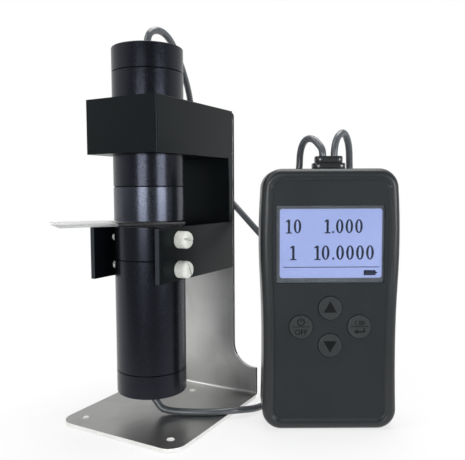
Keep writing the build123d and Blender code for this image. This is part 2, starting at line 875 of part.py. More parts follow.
# Handset rear shell, with the battery bay
bay_half = cell_count * cell_pitch / 2 + bay_side_room
bay_middle = bay_low + bay_length / 2
door_half = bay_half + door_margin
door_height = bay_length + 2 * door_margin
screw_seat = handset_depth - case_screw_sink - case_screw_head_height
with BuildPart() as rear_shell:
    extrude(outline(handset_depth), amount=handset_depth - parting_depth)
    back_edges = rear_shell.faces().sort_by(Axis(face.origin, face.z_dir))[0].edges()
    fillet(back_edges, back_round)
    extrude(
        outline(handset_depth - shell_wall, shell_wall),
        amount=handset_depth - shell_wall - parting_depth,
        mode=Mode.SUBTRACT,
    )
    with Locations(behind(handset_depth - shell_wall)):
        with Locations((0, bay_middle, 0)):
            Box(
                2 * (door_half + bay_wall),
                door_height + 2 * bay_wall,
                handset_depth - shell_wall - bay_floor + bay_wall,
                align=LOW,
            )
        with Locations(*[(*boss, 0) for boss in bosses]):
            Cylinder(boss_diameter / 2, handset_depth - shell_wall - parting_depth, align=LOW)
    with Locations(behind(handset_depth)):
        with Locations((0, bay_middle, 0)):
            Box(2 * bay_half, bay_length, handset_depth - bay_floor, align=LOW, mode=Mode.SUBTRACT)
            Box(
                2 * (door_half + door_gap),
                door_height + 2 * door_gap,
                door_thickness,
                align=LOW,
                mode=Mode.SUBTRACT,
            )
        with Locations(*[(*boss, 0) for boss in bosses]):
            Cylinder(
                case_screw_head / 2 + seat_gap,
                handset_depth - screw_seat,
                align=LOW,
                mode=Mode.SUBTRACT,
            )
            Cylinder(
                case_screw_diameter / 2 + slip_fit,
                handset_depth - parting_depth,
                align=LOW,
                mode=Mode.SUBTRACT,
            )
    with Locations(behind(socket_depth)):
        with Locations((plug_middle, handset_height, 0)):
            Box(plug_opening[0], 3 * shell_wall, plug_opening[1], mode=Mode.SUBTRACT)
save(rear_shell, "rear_shell")

with BuildPart() as case_screws:
    for boss in bosses:
        with Locations(
            Plane(origin=from_handset(boss[0], screw_seat, boss[1]), x_dir=face.x_dir, z_dir=-face.z_dir)
        ):
            screw(case_screw_diameter, case_screw_length, case_screw_head, case_screw_head_height)
save(case_screws, "case_screws")

with BuildPart() as battery_door:
    with Locations(behind(handset_depth)):
        with Locations((0, bay_middle, 0)):
            Box(2 * door_half, door_height, door_thickness - seat_gap, align=LOW)
        with Locations((0, bay_low + bay_length - door_margin * 3, 0)):
            with GridLocations(0, door_groove_pitch, 1, door_grooves):
                Box(*door_groove, align=LOW, mode=Mode.SUBTRACT)
save(battery_door, "battery_door")

# Cells and their contacts
cells_across = [(index - (cell_count - 1) / 2) * cell_pitch for index in range(cell_count)]
cell_low = bay_low + (bay_length - cell_length - cell_nub_height) / 2
with BuildPart() as battery_cells:
    for across in cells_across:
        with Locations(
            Plane(origin=from_handset(across, cell_depth, cell_low), x_dir=face.x_dir, z_dir=(0, 0, 1))
        ):
            Cylinder(cell_diameter / 2, cell_length, align=LOW)
            Cylinder(cell_nub_diameter / 2, cell_length + cell_nub_height, align=LOW)
save(battery_cells, "battery_cells")

with BuildPart() as battery_contacts:
    for across in cells_across:
        lower_end = Plane(
            origin=from_handset(across, cell_depth, bay_low), x_dir=face.x_dir, z_dir=(0, 0, 1)
        )
        upper_end = Plane(
            origin=from_handset(across, cell_depth, bay_low + bay_length),
            x_dir=face.x_dir,
            z_dir=(0, 0, -1),
        )
        for end, reach in (
            (lower_end, cell_low - bay_low - seat_gap),
            (upper_end, bay_low + bay_length - cell_low - cell_length - cell_nub_height - seat_gap),
        ):
            with Locations(end):
                Box(contact_plate, contact_plate, contact_plate_thickness, align=LOW)
                Cylinder(contact_stub / 2, reach, align=LOW)
save(battery_contacts, "battery_contacts")

# Socket on the board and the moulded plug in it
socket_top = handset_height - shell_wall - seat_gap
with BuildPart() as handset_socket:
    with Locations(
        Plane(origin=from_handset(plug_middle, socket_depth, socket_top), x_dir=face.x_dir, z_dir=(0, 0, 1))
    ):
        Box(*socket_size, align=HIGH)
        Box(*socket_cavity, socket_size[2] - shell_wall / 2, align=HIGH, mode=Mode.SUBTRACT)
save(handset_socket, "handset_socket")

plug_low = handset_height + seat_gap
plug_top = plug_low + plug_lower[2] + plug_upper[2]
with BuildPart(
    Plane(origin=from_handset(plug_middle, socket_depth, plug_low), x_dir=face.x_dir, z_dir=(0, 0, 1))
) as cable_plug:
    Box(*plug_lower, align=LOW)
    with Locations((0, 0, plug_lower[2])):
        Box(*plug_upper, align=LOW)
    fillet(cable_plug.edges().filter_by(Axis.Z), plug_round)
    Box(
        socket_cavity[0] - 2 * seat_gap, socket_cavity[1] - 2 * seat_gap, plug_tongue_length, align=HIGH
    )
save(cable_plug, "cable_plug")

# Cable of the upper head: out of the cap, over the block, down behind the upright, in a slack bow
# behind the handset, and over the handset's top into the plug
plug_left = plug_middle - plug_cable_spacing / 2
plug_right = plug_middle + plug_cable_spacing / 2
sensor_cable_route = [
    (0, 0, sensor_cap_top + grommet_lip),
    (0, 0, 207.0),
    (0, 4.6, 211.9),
    (0.6, 12.5, 213.3),
    (-0.6, 22.5, 210.6),
    (-3.0, 32.5, 204.4),
    (-5.9, 43.0, 196.4),
    (-9.0, 53.0, 187.2),
    (-11.2, 60.0, 174.0),
    (-11.2, 62.0, 158.5),
    (-6.5, 61.0, 143.5),
    (4.0, 60.2, 130.5),
    (17.0, 60.0, 118.8),
    (31.0, 60.0, 105.0),
    (45.0, 61.0, 91.0),
    (57.5, 62.5, 80.8),
    (71.5, 63.5, 80.0),
    (83.5, 64.0, 90.0),
    (89.5, 64.3, 107.0),
    from_handset(15.9, 31.5, 125.5),
    from_handset(15.5, 31.3, 140.0),
    from_handset(14.4, 27.5, 150.8),
    from_handset(10.6, 22.3, 157.4),
    from_handset(6.0, 17.2, 154.2),
    from_handset(plug_right, socket_depth, 147.8),
    from_handset(plug_right, socket_depth, plug_top),
]
save(cable(sensor_cable_route, "sensor_cable"), "sensor_cable")

# Cable of the lower head: its tail goes down to the base and is split from the rest where it lies
base_bend = Vector(6.5, 1.0, 4.2)
base_run = Vector(20.0, 6.3, 3.95)
tail_end = base_bend + (base_run - base_bend) * 0.38
lamp_tail_route = [
    (0, 0, lamp_cap_bottom - grommet_lip),
    (0, 0, 12.0),
    (2.9, 0.4, 8.6),
    tuple(base_bend),
    tuple(tail_end),
]
save(cable(lamp_tail_route, "lamp_tail"), "lamp_tail")

# The rest goes over the base's edge, across the bench, up behind the handset and into the plug
lamp_cable_route = [
    tuple(tail_end),
    tuple(base_run),
    (32.5, 13.0, 3.95),
    (42.5, 21.5, 4.0),
    (47.6, 32.0, 2.1),
    (50.2, 41.3, 2.0),
    from_handset(-30.3, 41.0, 2.2),
    from_handset(-29.0, 50.0, 7.5),
    from_handset(-28.0, 53.0, 18.5),
    from_handset(-27.6, 50.5, 31.5),
    from_handset(-27.3, 44.0, 46.5),
    from_handset(-27.0, 38.5, 63.0),
    from_handset(-26.0, 34.0, 83.0),
    from_handset(-22.5, 32.0, 103.0),
    from_handset(-16.0, 31.8, 120.5),
    from_handset(-12.5, 31.6, 136.0),
    from_handset(-12.4, 30.5, 147.5),
    from_handset(-10.3, 25.2, 153.4),
    from_handset(-6.7, 20.0, 153.4),
    from_handset(-3.7, 16.9, 149.6),
    from_handset(plug_left, socket_depth, 146.7),
    from_handset(plug_left, socket_depth, plug_top),
]
save(cable(lamp_cable_route, "lamp_cable"), "lamp_cable")
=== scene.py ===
"""Optical density meter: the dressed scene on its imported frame.

Metres, in the stand's frame: the origin is on the bench under the optical axis, X runs along the
stand's width, Y runs back to the upright, and Z is up. Sizes in the classes of the meter's parts
are millimetres, and those of the studio are metres.
"""
import json
import logging
import math
from contextlib import contextmanager
from dataclasses import dataclass
from enum import Enum
from typing import Iterable, Iterator, Sequence

import bmesh
import bpy
from mathutils import Matrix, Vector

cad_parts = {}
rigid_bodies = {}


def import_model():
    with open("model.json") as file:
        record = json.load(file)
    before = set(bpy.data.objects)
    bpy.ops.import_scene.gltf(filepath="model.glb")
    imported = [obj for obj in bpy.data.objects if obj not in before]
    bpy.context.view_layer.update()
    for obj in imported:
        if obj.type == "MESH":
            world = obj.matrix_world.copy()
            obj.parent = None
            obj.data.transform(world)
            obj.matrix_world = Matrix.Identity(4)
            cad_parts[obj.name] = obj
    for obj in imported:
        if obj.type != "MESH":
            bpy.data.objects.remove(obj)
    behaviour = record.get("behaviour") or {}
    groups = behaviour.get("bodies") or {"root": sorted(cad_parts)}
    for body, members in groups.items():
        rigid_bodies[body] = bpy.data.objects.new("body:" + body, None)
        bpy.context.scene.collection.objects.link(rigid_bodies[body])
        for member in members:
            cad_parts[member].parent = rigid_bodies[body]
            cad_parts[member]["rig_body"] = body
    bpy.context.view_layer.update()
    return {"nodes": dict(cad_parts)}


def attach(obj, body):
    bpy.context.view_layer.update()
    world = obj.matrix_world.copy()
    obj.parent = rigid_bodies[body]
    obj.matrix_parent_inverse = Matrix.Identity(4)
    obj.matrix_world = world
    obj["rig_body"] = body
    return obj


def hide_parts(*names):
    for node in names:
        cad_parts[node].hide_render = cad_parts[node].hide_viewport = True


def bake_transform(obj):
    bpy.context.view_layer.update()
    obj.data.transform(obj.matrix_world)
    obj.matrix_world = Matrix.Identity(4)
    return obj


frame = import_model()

MM = 0.001
ON_AXIS = 1e-9
SHARP_ANGLE = 32.0
EDGE_ANGLE = 40.0
SQUARE_ON = 0.85
NEARLY_SQUARE_ON = 0.8
LEAST_TURN = 0.2
RUN_SHARE = 0.45
LOG = logging.getLogger("density_meter")

Point = tuple[float, float, float]
Flat = tuple[float, float]
Outline = Sequence[Flat]
Socket = bpy.types.NodeSocket
Tree = bpy.types.NodeTree
Piece = bpy.types.Object


class Grain(Enum):
    """The way a surface was made, which decides its fine relief."""

    BRUSHED = "brushed"
    BLASTED = "blasted"
    TURNED = "turned"
    MOULDED = "moulded"
    PRINTED = "printed"
    POLISHED = "polished"
    EXTRUDED = "extruded"


# Handset frame


@dataclass(frozen=True)
class HandsetFrame:
    """The plane of the handset's front: width, depth behind it, and height, in millimetres."""

    foot: Flat = (92.7, 29.7)
    turn: float = 29.33

    def point(self, across: float, depth: float, height: float) -> Vector:
        """Place a point of the handset in the stand's frame.

        Args:
            across: distance to the right of the handset's middle.
            depth: distance behind its front.
            height: height above the bench.

        Returns:
            The point in metres.
        """
        turn = math.radians(self.turn)
        along = Vector((math.cos(turn), math.sin(turn), 0))
        back = Vector((-math.sin(turn), math.cos(turn), 0))
        return (Vector((*self.foot, height)) + along * across + back * depth) * MM

    def matrix(self, depth: float = 0.0) -> Matrix:
        """Give the matrix that lays a flat XY shape in millimetres on the handset.

        Args:
            depth: distance of the shape's plane behind the front.

        Returns:
            A matrix whose X is the width, Y the height and Z points out of the front.
        """
        turn = math.radians(self.turn)
        place = Matrix.Translation(self.point(0, depth, 0))
        rows = Matrix((
            (math.cos(turn), 0, math.sin(turn), 0),
            (math.sin(turn), 0, -math.cos(turn), 0),
            (0, 1, 0, 0),
            (0, 0, 0, 1),
        ))
        return place @ rows @ Matrix.Scale(MM, 4)


HANDSET = HandsetFrame()


# Node trees


class Wiring:
    """Adds nodes to one tree."""

    def __init__(self, tree: Tree) -> None:
        """Take the tree that the nodes go into."""
        self.tree = tree

    def node(self, kind: str, inputs: dict | None = None, **settings) -> bpy.types.Node:
        """Add a node with its settings and inputs.

        Args:
            kind: the node's type name.
            inputs: values or output sockets, by input name or number.
            settings: attributes of the node.

        Returns:
            The new node.
        """
        node = self.tree.nodes.new(kind)
        for name, value in settings.items():
            setattr(node, name, value)
        for key, value in (inputs or {}).items():
            if isinstance(value, Socket):
                self.tree.links.new(value, node.inputs[key])
            else:
                node.inputs[key].default_value = value
        return node

    def number(self, operation: str, *values: float | Socket) -> Socket:
        """Combine numbers."""
        return self.node("ShaderNodeMath", dict(enumerate(values)), operation=operation).outputs[0]

    def vector(self, operation: str, *values: Sequence[float] | Socket) -> Socket:
        """Combine vectors. All but the product come out as a number."""
        node = self.node("ShaderNodeVectorMath", dict(enumerate(values)), operation=operation)
        return node.outputs["Vector" if operation == "MULTIPLY" else "Value"]

    def combine(self, x: float | Socket, y: float | Socket, z: float | Socket) -> Socket:
        """Join three numbers to a vector."""
        return self.node("ShaderNodeCombineXYZ", {0: x, 1: y, 2: z}).outputs[0]

    def ramp(self, value: Socket, source: Flat = (0.0, 1.0), target: Flat = (0.0, 1.0),
             soft: bool = False) -> Socket:
        """Map one range of numbers onto another.

        Args:
            value: the number that is mapped.
            source: its range.
            target: the range it is mapped onto.
            soft: whether the slope starts and ends softly.

        Returns:
            The mapped number.
        """
        inputs = {"Value": value, "From Min": source[0], "From Max": source[1], "To Min": target[0],
                  "To Max": target[1]}
        kind = "SMOOTHSTEP" if soft else "LINEAR"
        return self.node("ShaderNodeMapRange", inputs, interpolation_type=kind).outputs["Result"]

    def noise(self, place: Socket, scale: float | Socket, detail: float, roughness: float = 0.5,
              distortion: float = 0.0) -> Socket:
        """Read a noise texture at a place."""
        inputs = {"Vector": place, "Scale": scale, "Detail": detail, "Roughness": roughness,
                  "Distortion": distortion}
        return self.node("ShaderNodeTexNoise", inputs).outputs[0]

    def mix(self, factor: Socket, first, second, kind: str = "RGBA") -> Socket:
        """Mix two colours or, with the kind FLOAT, two numbers."""
        start, result = (6, 2) if kind == "RGBA" else (2, 0)
        inputs = {0: factor, start: first, start + 1: second}
        return self.node("ShaderNodeMix", inputs, data_type=kind).outputs[result]

    def blend(self, factor: Socket, first: Socket, second: Socket) -> Socket:
        """Mix two shaders."""
        return self.node("ShaderNodeMixShader", {0: factor, 1: first, 2: second}).outputs[0]

    def close(self, kind: str = "NodeGroupOutput", **results: Socket) -> Tree:
        """Lead the results into the tree's last node and give the tree back."""
        self.node(kind, results)
        return self.tree


def blank(owner: bpy.types.Material | bpy.types.World) -> Wiring:
    """Empty the tree of a material or a world, to be wired anew."""
    owner.use_nodes = True
    owner.node_tree.nodes.clear()
    return Wiring(owner.node_tree)


def linear(red: float, green: float, blue: float) -> tuple[float, float, float, float]:
    """Turn a colour as the eye reads it (0 to 255) into Blender's linear one."""
    shares = [value / 255 for value in (red, green, blue)]
    parts = [s / 12.92 if s <= 0.04045 else ((s + 0.055) / 1.055) ** 2.4 for s in shares]
    return (*parts, 1.0)


class Effects:
    """Shader groups that several finishes share. Each one is built once."""

    def __init__(self) -> None:
        """Build the groups and sort them by the grain that they give."""
        streaks = self._streaks()
        self.grains = dict.fromkeys(Grain, self._pebbles())
        self.grains |= {Grain.BRUSHED: streaks, Grain.EXTRUDED: streaks, Grain.TURNED: self._rings()}
        self.patches = self._patches()

    @staticmethod
    def _start(name: str, *outputs: str) -> tuple[Wiring, Socket, Socket]:
        """Start a group with the inputs Vector and Size.

        Args:
            name: the group's name.
            outputs: names of its outputs, which are all numbers.

        Returns:
            The group's wiring, its place, and one over its size.
        """
        tree = bpy.data.node_groups.new(name, "ShaderNodeTree")
        tree.interface.new_socket("Vector", in_out="INPUT", socket_type="NodeSocketVector")
        tree.interface.new_socket("Size", in_out="INPUT", socket_type="NodeSocketFloat")
        for title in outputs:
            tree.interface.new_socket(title, in_out="OUTPUT", socket_type="NodeSocketFloat")
        wiring = Wiring(tree)
        source = wiring.node("NodeGroupInput").outputs
        return wiring, source["Vector"], wiring.number("DIVIDE", 1.0, source["Size"])

    def _pebbles(self) -> Tree:
        """Build the fine pebbled grain of blasted and moulded surfaces."""
        wiring, place, scale = self._start("fine_grain", "Height", "Mask")
        noise = wiring.noise(place, scale, detail=2.0, roughness=0.6)
        cells = wiring.node("ShaderNodeTexVoronoi", {"Vector": place, "Scale": scale}, feature="SMOOTH_F1")
        height = wiring.number("SUBTRACT", noise, cells.outputs["Distance"])
        return wiring.close(Height=height, Mask=wiring.ramp(noise, (0.35, 0.65), soft=True))

    def _streaks(self) -> Tree:
        """Build the long streaks of a brushed sheet: two layers of noise, drawn out along Y and Z."""
        wiring, place, scale = self._start("brushed_streaks", "Height", "Mask")
        layers = []
        for share, length in ((1.0, 45.0), (0.22, 14.0)):
            stretch = wiring.combine(wiring.number("MULTIPLY", scale, share), length, length)
            drawn = wiring.vector("MULTIPLY", place, stretch)
            layers.append(wiring.noise(drawn, scale=1.0, detail=3.0, roughness=0.7))
        height = wiring.number("ADD", *layers)
        return wiring.close(Height=height, Mask=wiring.ramp(height, (0.75, 1.25)))

    def _rings(self) -> Tree:
        """Build the fine tool marks round a turned piece, by its radius and its height."""
        wiring, place, scale = self._start("turning_marks", "Height", "Mask")
        x, y, z = wiring.node("ShaderNodeSeparateXYZ", {0: place}).outputs
        radius = wiring.vector("LENGTH", wiring.combine(x, y, 0.0))
        marks = wiring.noise(wiring.combine(radius, 0.0, z), scale, detail=1.0)
        specks = wiring.noise(place, scale=3600.0, detail=2.0, roughness=0.7)
        height = wiring.number("ADD", marks, specks)
        return wiring.close(Height=height, Mask=wiring.ramp(specks, (0.45, 0.7)))

    def _patches(self) -> Tree:
        """Build the broad soft patches of handling and dust."""
        wiring, place, scale = self._start("soft_patches", "Mask")
        noise = wiring.noise(place, scale, detail=4.0, roughness=0.55, distortion=0.6)
        return wiring.close(Mask=wiring.ramp(noise, (0.38, 0.68), soft=True))


@dataclass(frozen=True)
class Finish:
    """A surface finish: its colour as the eye reads it, its gloss, and the relief of its grain."""

    name: str
    colour: Point
    roughness: float
    grain: Grain
    second: Point | None = None
    metallic: float = 0.0
    size: float = 0.3
    relief: float = 0.01
    spread: float = 0.06
    patch: float = 18.0
    specular: float = 0.5
    coat: float = 0.0
    transmission: float = 0.0
    glow: float = 0.0
    alpha: float = 1.0
    ior: float = 1.47
    tint: Point = (255, 255, 255)
    fleck: float = 0.8
    worn_share: float = 1.16
    worn_lift: float = 3.0

    def build(self, effects: Effects) -> bpy.types.Material:
        """Make the finish as a procedural material.

        Args:
            effects: the shader groups that finishes share.

        Returns:
            The new material.
        """
        material = bpy.data.materials.new(self.name)
        wiring = blank(material)
        places = wiring.node("ShaderNodeTexCoord").outputs
        along = places["UV" if self.grain is Grain.EXTRUDED else "Object"]
        fine = wiring.node("ShaderNodeGroup", node_tree=effects.grains[self.grain])
        broad = wiring.node("ShaderNodeGroup", node_tree=effects.patches)
        for group, place, size in ((fine, along, self.size), (broad, places["Object"], self.patch)):
            wiring.tree.links.new(place, group.inputs["Vector"])
            group.inputs["Size"].default_value = size * MM
        first = linear(*self.colour)
        worn_colour = [min(255.0, value * self.worn_share + self.worn_lift) for value in self.colour]
        colour = worn = wiring.mix(broad.outputs["Mask"], first, linear(*(self.second or worn_colour)))
        mask = broad.outputs["Mask"]
        if self.grain is not Grain.POLISHED:
            mask = fine.outputs["Mask"]
            colour = wiring.mix(mask, worn, (*(value * self.fleck for value in first[:3]), 1.0))
        limits = (max(0.02, self.roughness - self.spread), min(1.0, self.roughness + self.spread))
        relief = {"Height": fine.outputs["Height"], "Strength": 1.0, "Distance": self.relief * MM}
        inputs = {
            "Base Color": colour,
            "Roughness": wiring.ramp(mask, target=limits),
            "Metallic": self.metallic,
            "IOR": self.ior,
            "Specular IOR Level": self.specular,
            "Specular Tint": linear(*self.tint),
            "Coat Weight": self.coat,
            "Transmission Weight": self.transmission,
            "Alpha": self.alpha,
            "Normal": wiring.node("ShaderNodeBump", relief).outputs[0],
        }
        if self.glow:
            inputs |= {"Emission Color": worn, "Emission Strength": self.glow}
        shader = wiring.node("ShaderNodeBsdfPrincipled", inputs)
        wiring.close("ShaderNodeOutputMaterial", Surface=shader.outputs[0])
        return material


STEEL = Finish("brushed_steel", (176, 176, 175), 0.34, Grain.BRUSHED, metallic=1.0, size=0.13, relief=0.0018,
               spread=0.05, second=(162, 162, 160), fleck=0.95)
# A lighter copy of the brushed steel for the upright's front faces: painted light.
UPRIGHT_PAINTED_LIGHT = Finish("brushed_upright", (210, 210, 209), 0.36, Grain.BRUSHED, metallic=1.0, size=0.13,
                 relief=0.0018, spread=0.05, second=(192, 192, 190), fleck=0.95)
# The sheet's low cut edge at the front, painted much brighter than the steel: a painted highlight.
EDGE_PAINTED_HIGHLIGHT = Finish("ground_edge", (236, 235, 231), 0.5, Grain.BLASTED, metallic=0.7, size=0.14,
                     relief=0.003, fleck=0.95)
# The upright's side faces, painted dark: painted shade.
EDGE_PAINTED_SHADE = Finish("cut_edge", (58, 59, 58), 0.55, Grain.BLASTED, metallic=0.8, size=0.14, relief=0.004)
BRACKET = Finish("bracket_black", (7, 10, 13), 0.34, Grain.BLASTED, size=0.16, relief=0.005, specular=0.2,
                 second=(11, 14, 17), tint=(232, 250, 252))
# A lighter copy of the black bracket for the lower arm's front faces: painted light.
ARM_FRONT_PAINTED_LIGHT = Finish("arm_front", (40, 45, 50), 0.42, Grain.BLASTED, size=0.16, relief=0.005, specular=0.3,
                   second=(47, 52, 57))
HEAD = Finish("head_black", (10, 12, 15), 0.26, Grain.BLASTED, relief=0.007, specular=0.42,
              second=(13, 15, 18), spread=0.1, tint=(218, 224, 250))
NOSE = Finish("nose_black", (12, 14, 17), 0.25, Grain.BLASTED, relief=0.009, specular=0.95,
              second=(16, 18, 21), spread=0.1, tint=(218, 226, 252))
SCREW = Finish("screw_black", (26, 26, 27), 0.4, Grain.BLASTED, metallic=0.6, size=0.12, relief=0.004)
NYLON = Finish("nylon_white", (214, 215, 208), 0.4, Grain.MOULDED, size=0.35, relief=0.006,
               second=(204, 205, 197), patch=4.0, specular=0.3)
GLASS = Finish("optical_glass", (235, 240, 240), 0.04, Grain.POLISHED, relief=0.0002, transmission=1.0,
               spread=0.02, ior=1.52)
OPAL = Finish("opal_white", (236, 236, 232), 0.3, Grain.MOULDED, relief=0.002, second=(228, 228, 222))
BOARD = Finish("board_green", (32, 96, 58), 0.42, Grain.PRINTED, size=1.2, relief=0.02, second=(40, 118, 70),
               patch=3.0)
CHROME = Finish("can_metal", (198, 198, 194), 0.22, Grain.TURNED, metallic=1.0, relief=0.003)
SINK = Finish("bare_aluminium", (204, 204, 202), 0.34, Grain.TURNED, metallic=1.0, size=0.4, relief=0.005)
GROMMET = Finish("grommet_rubber", (22, 22, 23), 0.62, Grain.MOULDED, size=0.2, specular=0.25)
CABLE = Finish("cable_grey", (84, 87, 91), 0.24, Grain.EXTRUDED, size=0.8, relief=0.0015,
               second=(80, 84, 89), patch=9.0, specular=0.6)
PLUG = Finish("plug_black", (38, 40, 42), 0.26, Grain.MOULDED, size=0.5, relief=0.004, specular=0.6, coat=0.4)
SHELL = Finish("shell_grey", (39, 42, 44), 0.33, Grain.MOULDED, size=0.32, relief=0.008, second=(41, 44, 46),
               specular=0.4)
PANEL = Finish("panel_grey", (37, 41, 43), 0.5, Grain.PRINTED, size=0.2, relief=0.005, second=(41, 45, 47),
               patch=30.0, specular=0.18)
KEYS = Finish("key_grey", (49, 52, 53), 0.48, Grain.MOULDED, size=0.25, relief=0.008, second=(56, 59, 60),
              specular=0.2)
LEGEND = Finish("legend_dark", (20, 22, 23), 0.55, Grain.PRINTED, size=0.2, relief=0.001, specular=0.1)
LIT = Finish("display_blue", (148, 161, 208), 0.4, Grain.PRINTED, relief=0.001, second=(143, 157, 204),
             patch=26.0, glow=0.38, specular=0.1)
INK = Finish("display_ink", (18, 24, 50), 0.5, Grain.PRINTED, size=0.2, relief=0.001, second=(22, 28, 56),
             specular=0.1)
BORDER = Finish("display_border", (84, 88, 91), 0.5, Grain.PRINTED, size=0.25, relief=0.002, specular=0.15)
WINDOW = Finish("display_clear", (96, 104, 116), 0.2, Grain.POLISHED, relief=0.0001, spread=0.01,
                alpha=0.08, specular=0.1)
CELL = Finish("cell_jacket", (96, 112, 140), 0.34, Grain.BRUSHED, metallic=0.5, size=0.5, relief=0.003)
CONTACT = Finish("contact_metal", (214, 204, 168), 0.28, Grain.TURNED, metallic=1.0, size=0.25, relief=0.003)
SWITCH = Finish("switch_black", (28, 28, 29), 0.45, Grain.MOULDED, size=0.22, relief=0.008)
SAMPLE = Finish("sample_pale", (208, 210, 208), 0.3, Grain.POLISHED, relief=0.0005, second=(203, 205, 203),
                patch=14.0, spread=0.05, alpha=0.8, specular=0.3)
SAMPLE_SIDE = Finish("sample_side", (214, 218, 216), 0.2, Grain.POLISHED, relief=0.0005, alpha=0.14)
SAMPLE_RIM = Finish("sample_rim", (88, 91, 90), 0.3, Grain.POLISHED, relief=0.0005, alpha=0.85)
# The sheet's part inside the gap between the heads, painted dark: painted shade.
SAMPLE_PAINTED_SHADE = Finish("sample_dark", (17, 19, 21), 0.3, Grain.POLISHED, relief=0.0005, specular=0.2,
                     second=(20, 22, 25))


class Workshop:
    """Holds the materials and makes, dresses and mounts pieces."""

    def __init__(self) -> None:
        """Build the shared groups and trees."""
        self.effects = Effects()
        self.materials: dict[str, bpy.types.Material] = {}
        self.turning = turning_tree()
        self.seating = seating_tree()

    def material(self, finish: Finish) -> bpy.types.Material:
        """Give the material of a finish, which is made on its first use."""
        if finish.name not in self.materials:
            self.materials[finish.name] = finish.build(self.effects)
        return self.materials[finish.name]

    def add(self, data: bpy.types.Mesh, *finishes: Finish) -> None:
        """Add finishes to a mesh, in this order."""
        for finish in finishes:
            data.materials.append(self.material(finish))

    def coat(self, data: bpy.types.Mesh, finish: Finish) -> None:
        """Give a mesh one finish alone."""
        data.materials.clear()
        self.add(data, finish)

    def dress(self, finish: Finish, *nodes: str) -> None:
        """Give CAD nodes their material where their shape is right as it is.

        Args:
            finish: the finish they get.
            nodes: the nodes' names.
        """
        for name in nodes:
            self.coat(frame["nodes"][name].data, finish)
            LOG.info("%s: CAD shape, %s", name, finish.name)

    def mount(self, piece: Piece, finish: Finish, body: str, slot: str, *nodes: str) -> Piece:
        """Finish a piece: its material, its body and the nodes it stands for.

        Args:
            piece: the finished mesh piece.
            finish: the finish it gets.
            body: the body that carries it.
            slot: not used.
            nodes: the CAD nodes that it replaces.

        Returns:
            The piece.
        """
        self.coat(piece.data, finish)
        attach(piece, body)
        if nodes:
            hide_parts(*nodes)
        LOG.info("%s: %d faces on %s, %s", piece.name, len(piece.data.polygons), body, finish.name)
        return piece

    def soften(self, node: str, finish: Finish, slot: str, width: float, segments: int = 2,
               turn: Matrix | None = None) -> Piece:
        """Replace a CAD node by a copy with its sharp edges rounded.

        Args:
            node: the CAD node's name.
            finish: the finish it gets.
            slot: the record's material slot.
            width: width of the rounded edges in millimetres.
            segments: faces across a rounded edge.
            turn: a matrix applied to the copy first, for a piece that is turned about its own axis.

        Returns:
            The new piece.
        """
        source = frame["nodes"][node]
        data = bpy.data.meshes.new(f"{node}_soft")
        with edited(data) as shape:
            shape.from_mesh(source.data)
            bmesh.ops.remove_doubles(shape, verts=shape.verts, dist=2e-6)
            flat = math.radians(0.4)
            bmesh.ops.dissolve_limit(shape, angle_limit=flat, verts=shape.verts, edges=shape.edges)
            if turn is not None:
                bmesh.ops.transform(shape, matrix=turn, verts=shape.verts)
        piece = add_object(f"{node}_dressed", data)
        smooth(piece)
        bevel(piece, width, EDGE_ANGLE, segments)
        even_out(piece)
        settle(piece)
        return self.mount(piece, finish, source["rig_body"], slot, node)

    def turned(self, node: str, outline: Outline, rounds: Sequence[float], finish: Finish, body: str,
               slot: str, place: Matrix | None = None, segments: int = 128) -> Piece:
        """Turn an outline about an upright axis with the shared Geometry Nodes tree.

        Args:
            node: the CAD node that the piece replaces.
            outline: closed outline of radius and height in millimetres, or an open one whose two
                ends lie on the axis.
            rounds: radius of each corner.
            finish: the finish it gets.
            body: the body that carries it.
            slot: the record's material slot.
            place: where its axis and foot lie, if not on the optical axis.
            segments: faces round the piece.

        Returns:
            The new piece.
        """
        points = round_corners(outline, rounds)
        ring = points if abs(points[0][0]) < ON_AXIS else [*points, points[0]]
        piece = wire(f"{node}_dressed", ring)
        run_tree(piece, self.turning, {"Segments": segments})
        if place is not None:
            piece.data.transform(place @ Matrix.Scale(1 / MM, 4))
        close_shell(piece.data)
        smooth(piece)
        even_out(piece)
        settle(piece)
        return self.mount(piece, finish, body, slot, node)

    def seated(self, node: str, item: Piece, seats: Iterable[Vector], direction: Vector,
               seed: int) -> Piece:
        """Set copies of one screw on its seats with the shared Geometry Nodes tree.

        Args:
            node: the CAD node that the copies replace.
            item: the screw, with its axis along Z and its seat at the origin. It is removed here.
            seats: where the copies stand, in metres.
            direction: where their heads point.
            seed: seed of the turns that the copies stand at.

        Returns:
            The piece with all the copies.
        """
        data = bpy.data.meshes.new(node)
        data.from_pydata([tuple(seat) for seat in seats], [], [])
        piece = add_object(f"{node}_dressed", data)
        run_tree(piece, self.seating, {"Item": item, "Direction": tuple(direction), "Seed": seed})
        bpy.data.objects.remove(item)
        smooth(piece)
        return self.mount(piece, SCREW, "root", "screw_black", node)


# Mesh helpers


def add_object(name: str, data: bpy.types.ID) -> Piece:
    """Add an object with this data to the scene."""
    made = bpy.data.objects.new(name, data)
    bpy.context.scene.collection.objects.link(made)
    return made


def wire(name: str, points: Outline) -> Piece:
    """Lay a run of radii and heights, in millimetres, as a wire on the XZ plane."""
    data = bpy.data.meshes.new(name)
    edges = [(i, i + 1) for i in range(len(points) - 1)]
    data.from_pydata([(r * MM, 0, z * MM) for r, z in points], edges, [])
    return add_object(name, data)


def box(left: float, low: float, right: float, high: float) -> list[Flat]:
    """Give the outline of an upright rectangle."""
    return [(left, low), (right, low), (right, high), (left, high)]


@contextmanager
def edited(data: bpy.types.Mesh) -> Iterator[bmesh.types.BMesh]:
    """Open a mesh for editing and write it back at the end of the block."""
    shape = bmesh.new()
    shape.from_mesh(data)
    yield shape
    shape.to_mesh(data)
    shape.free()


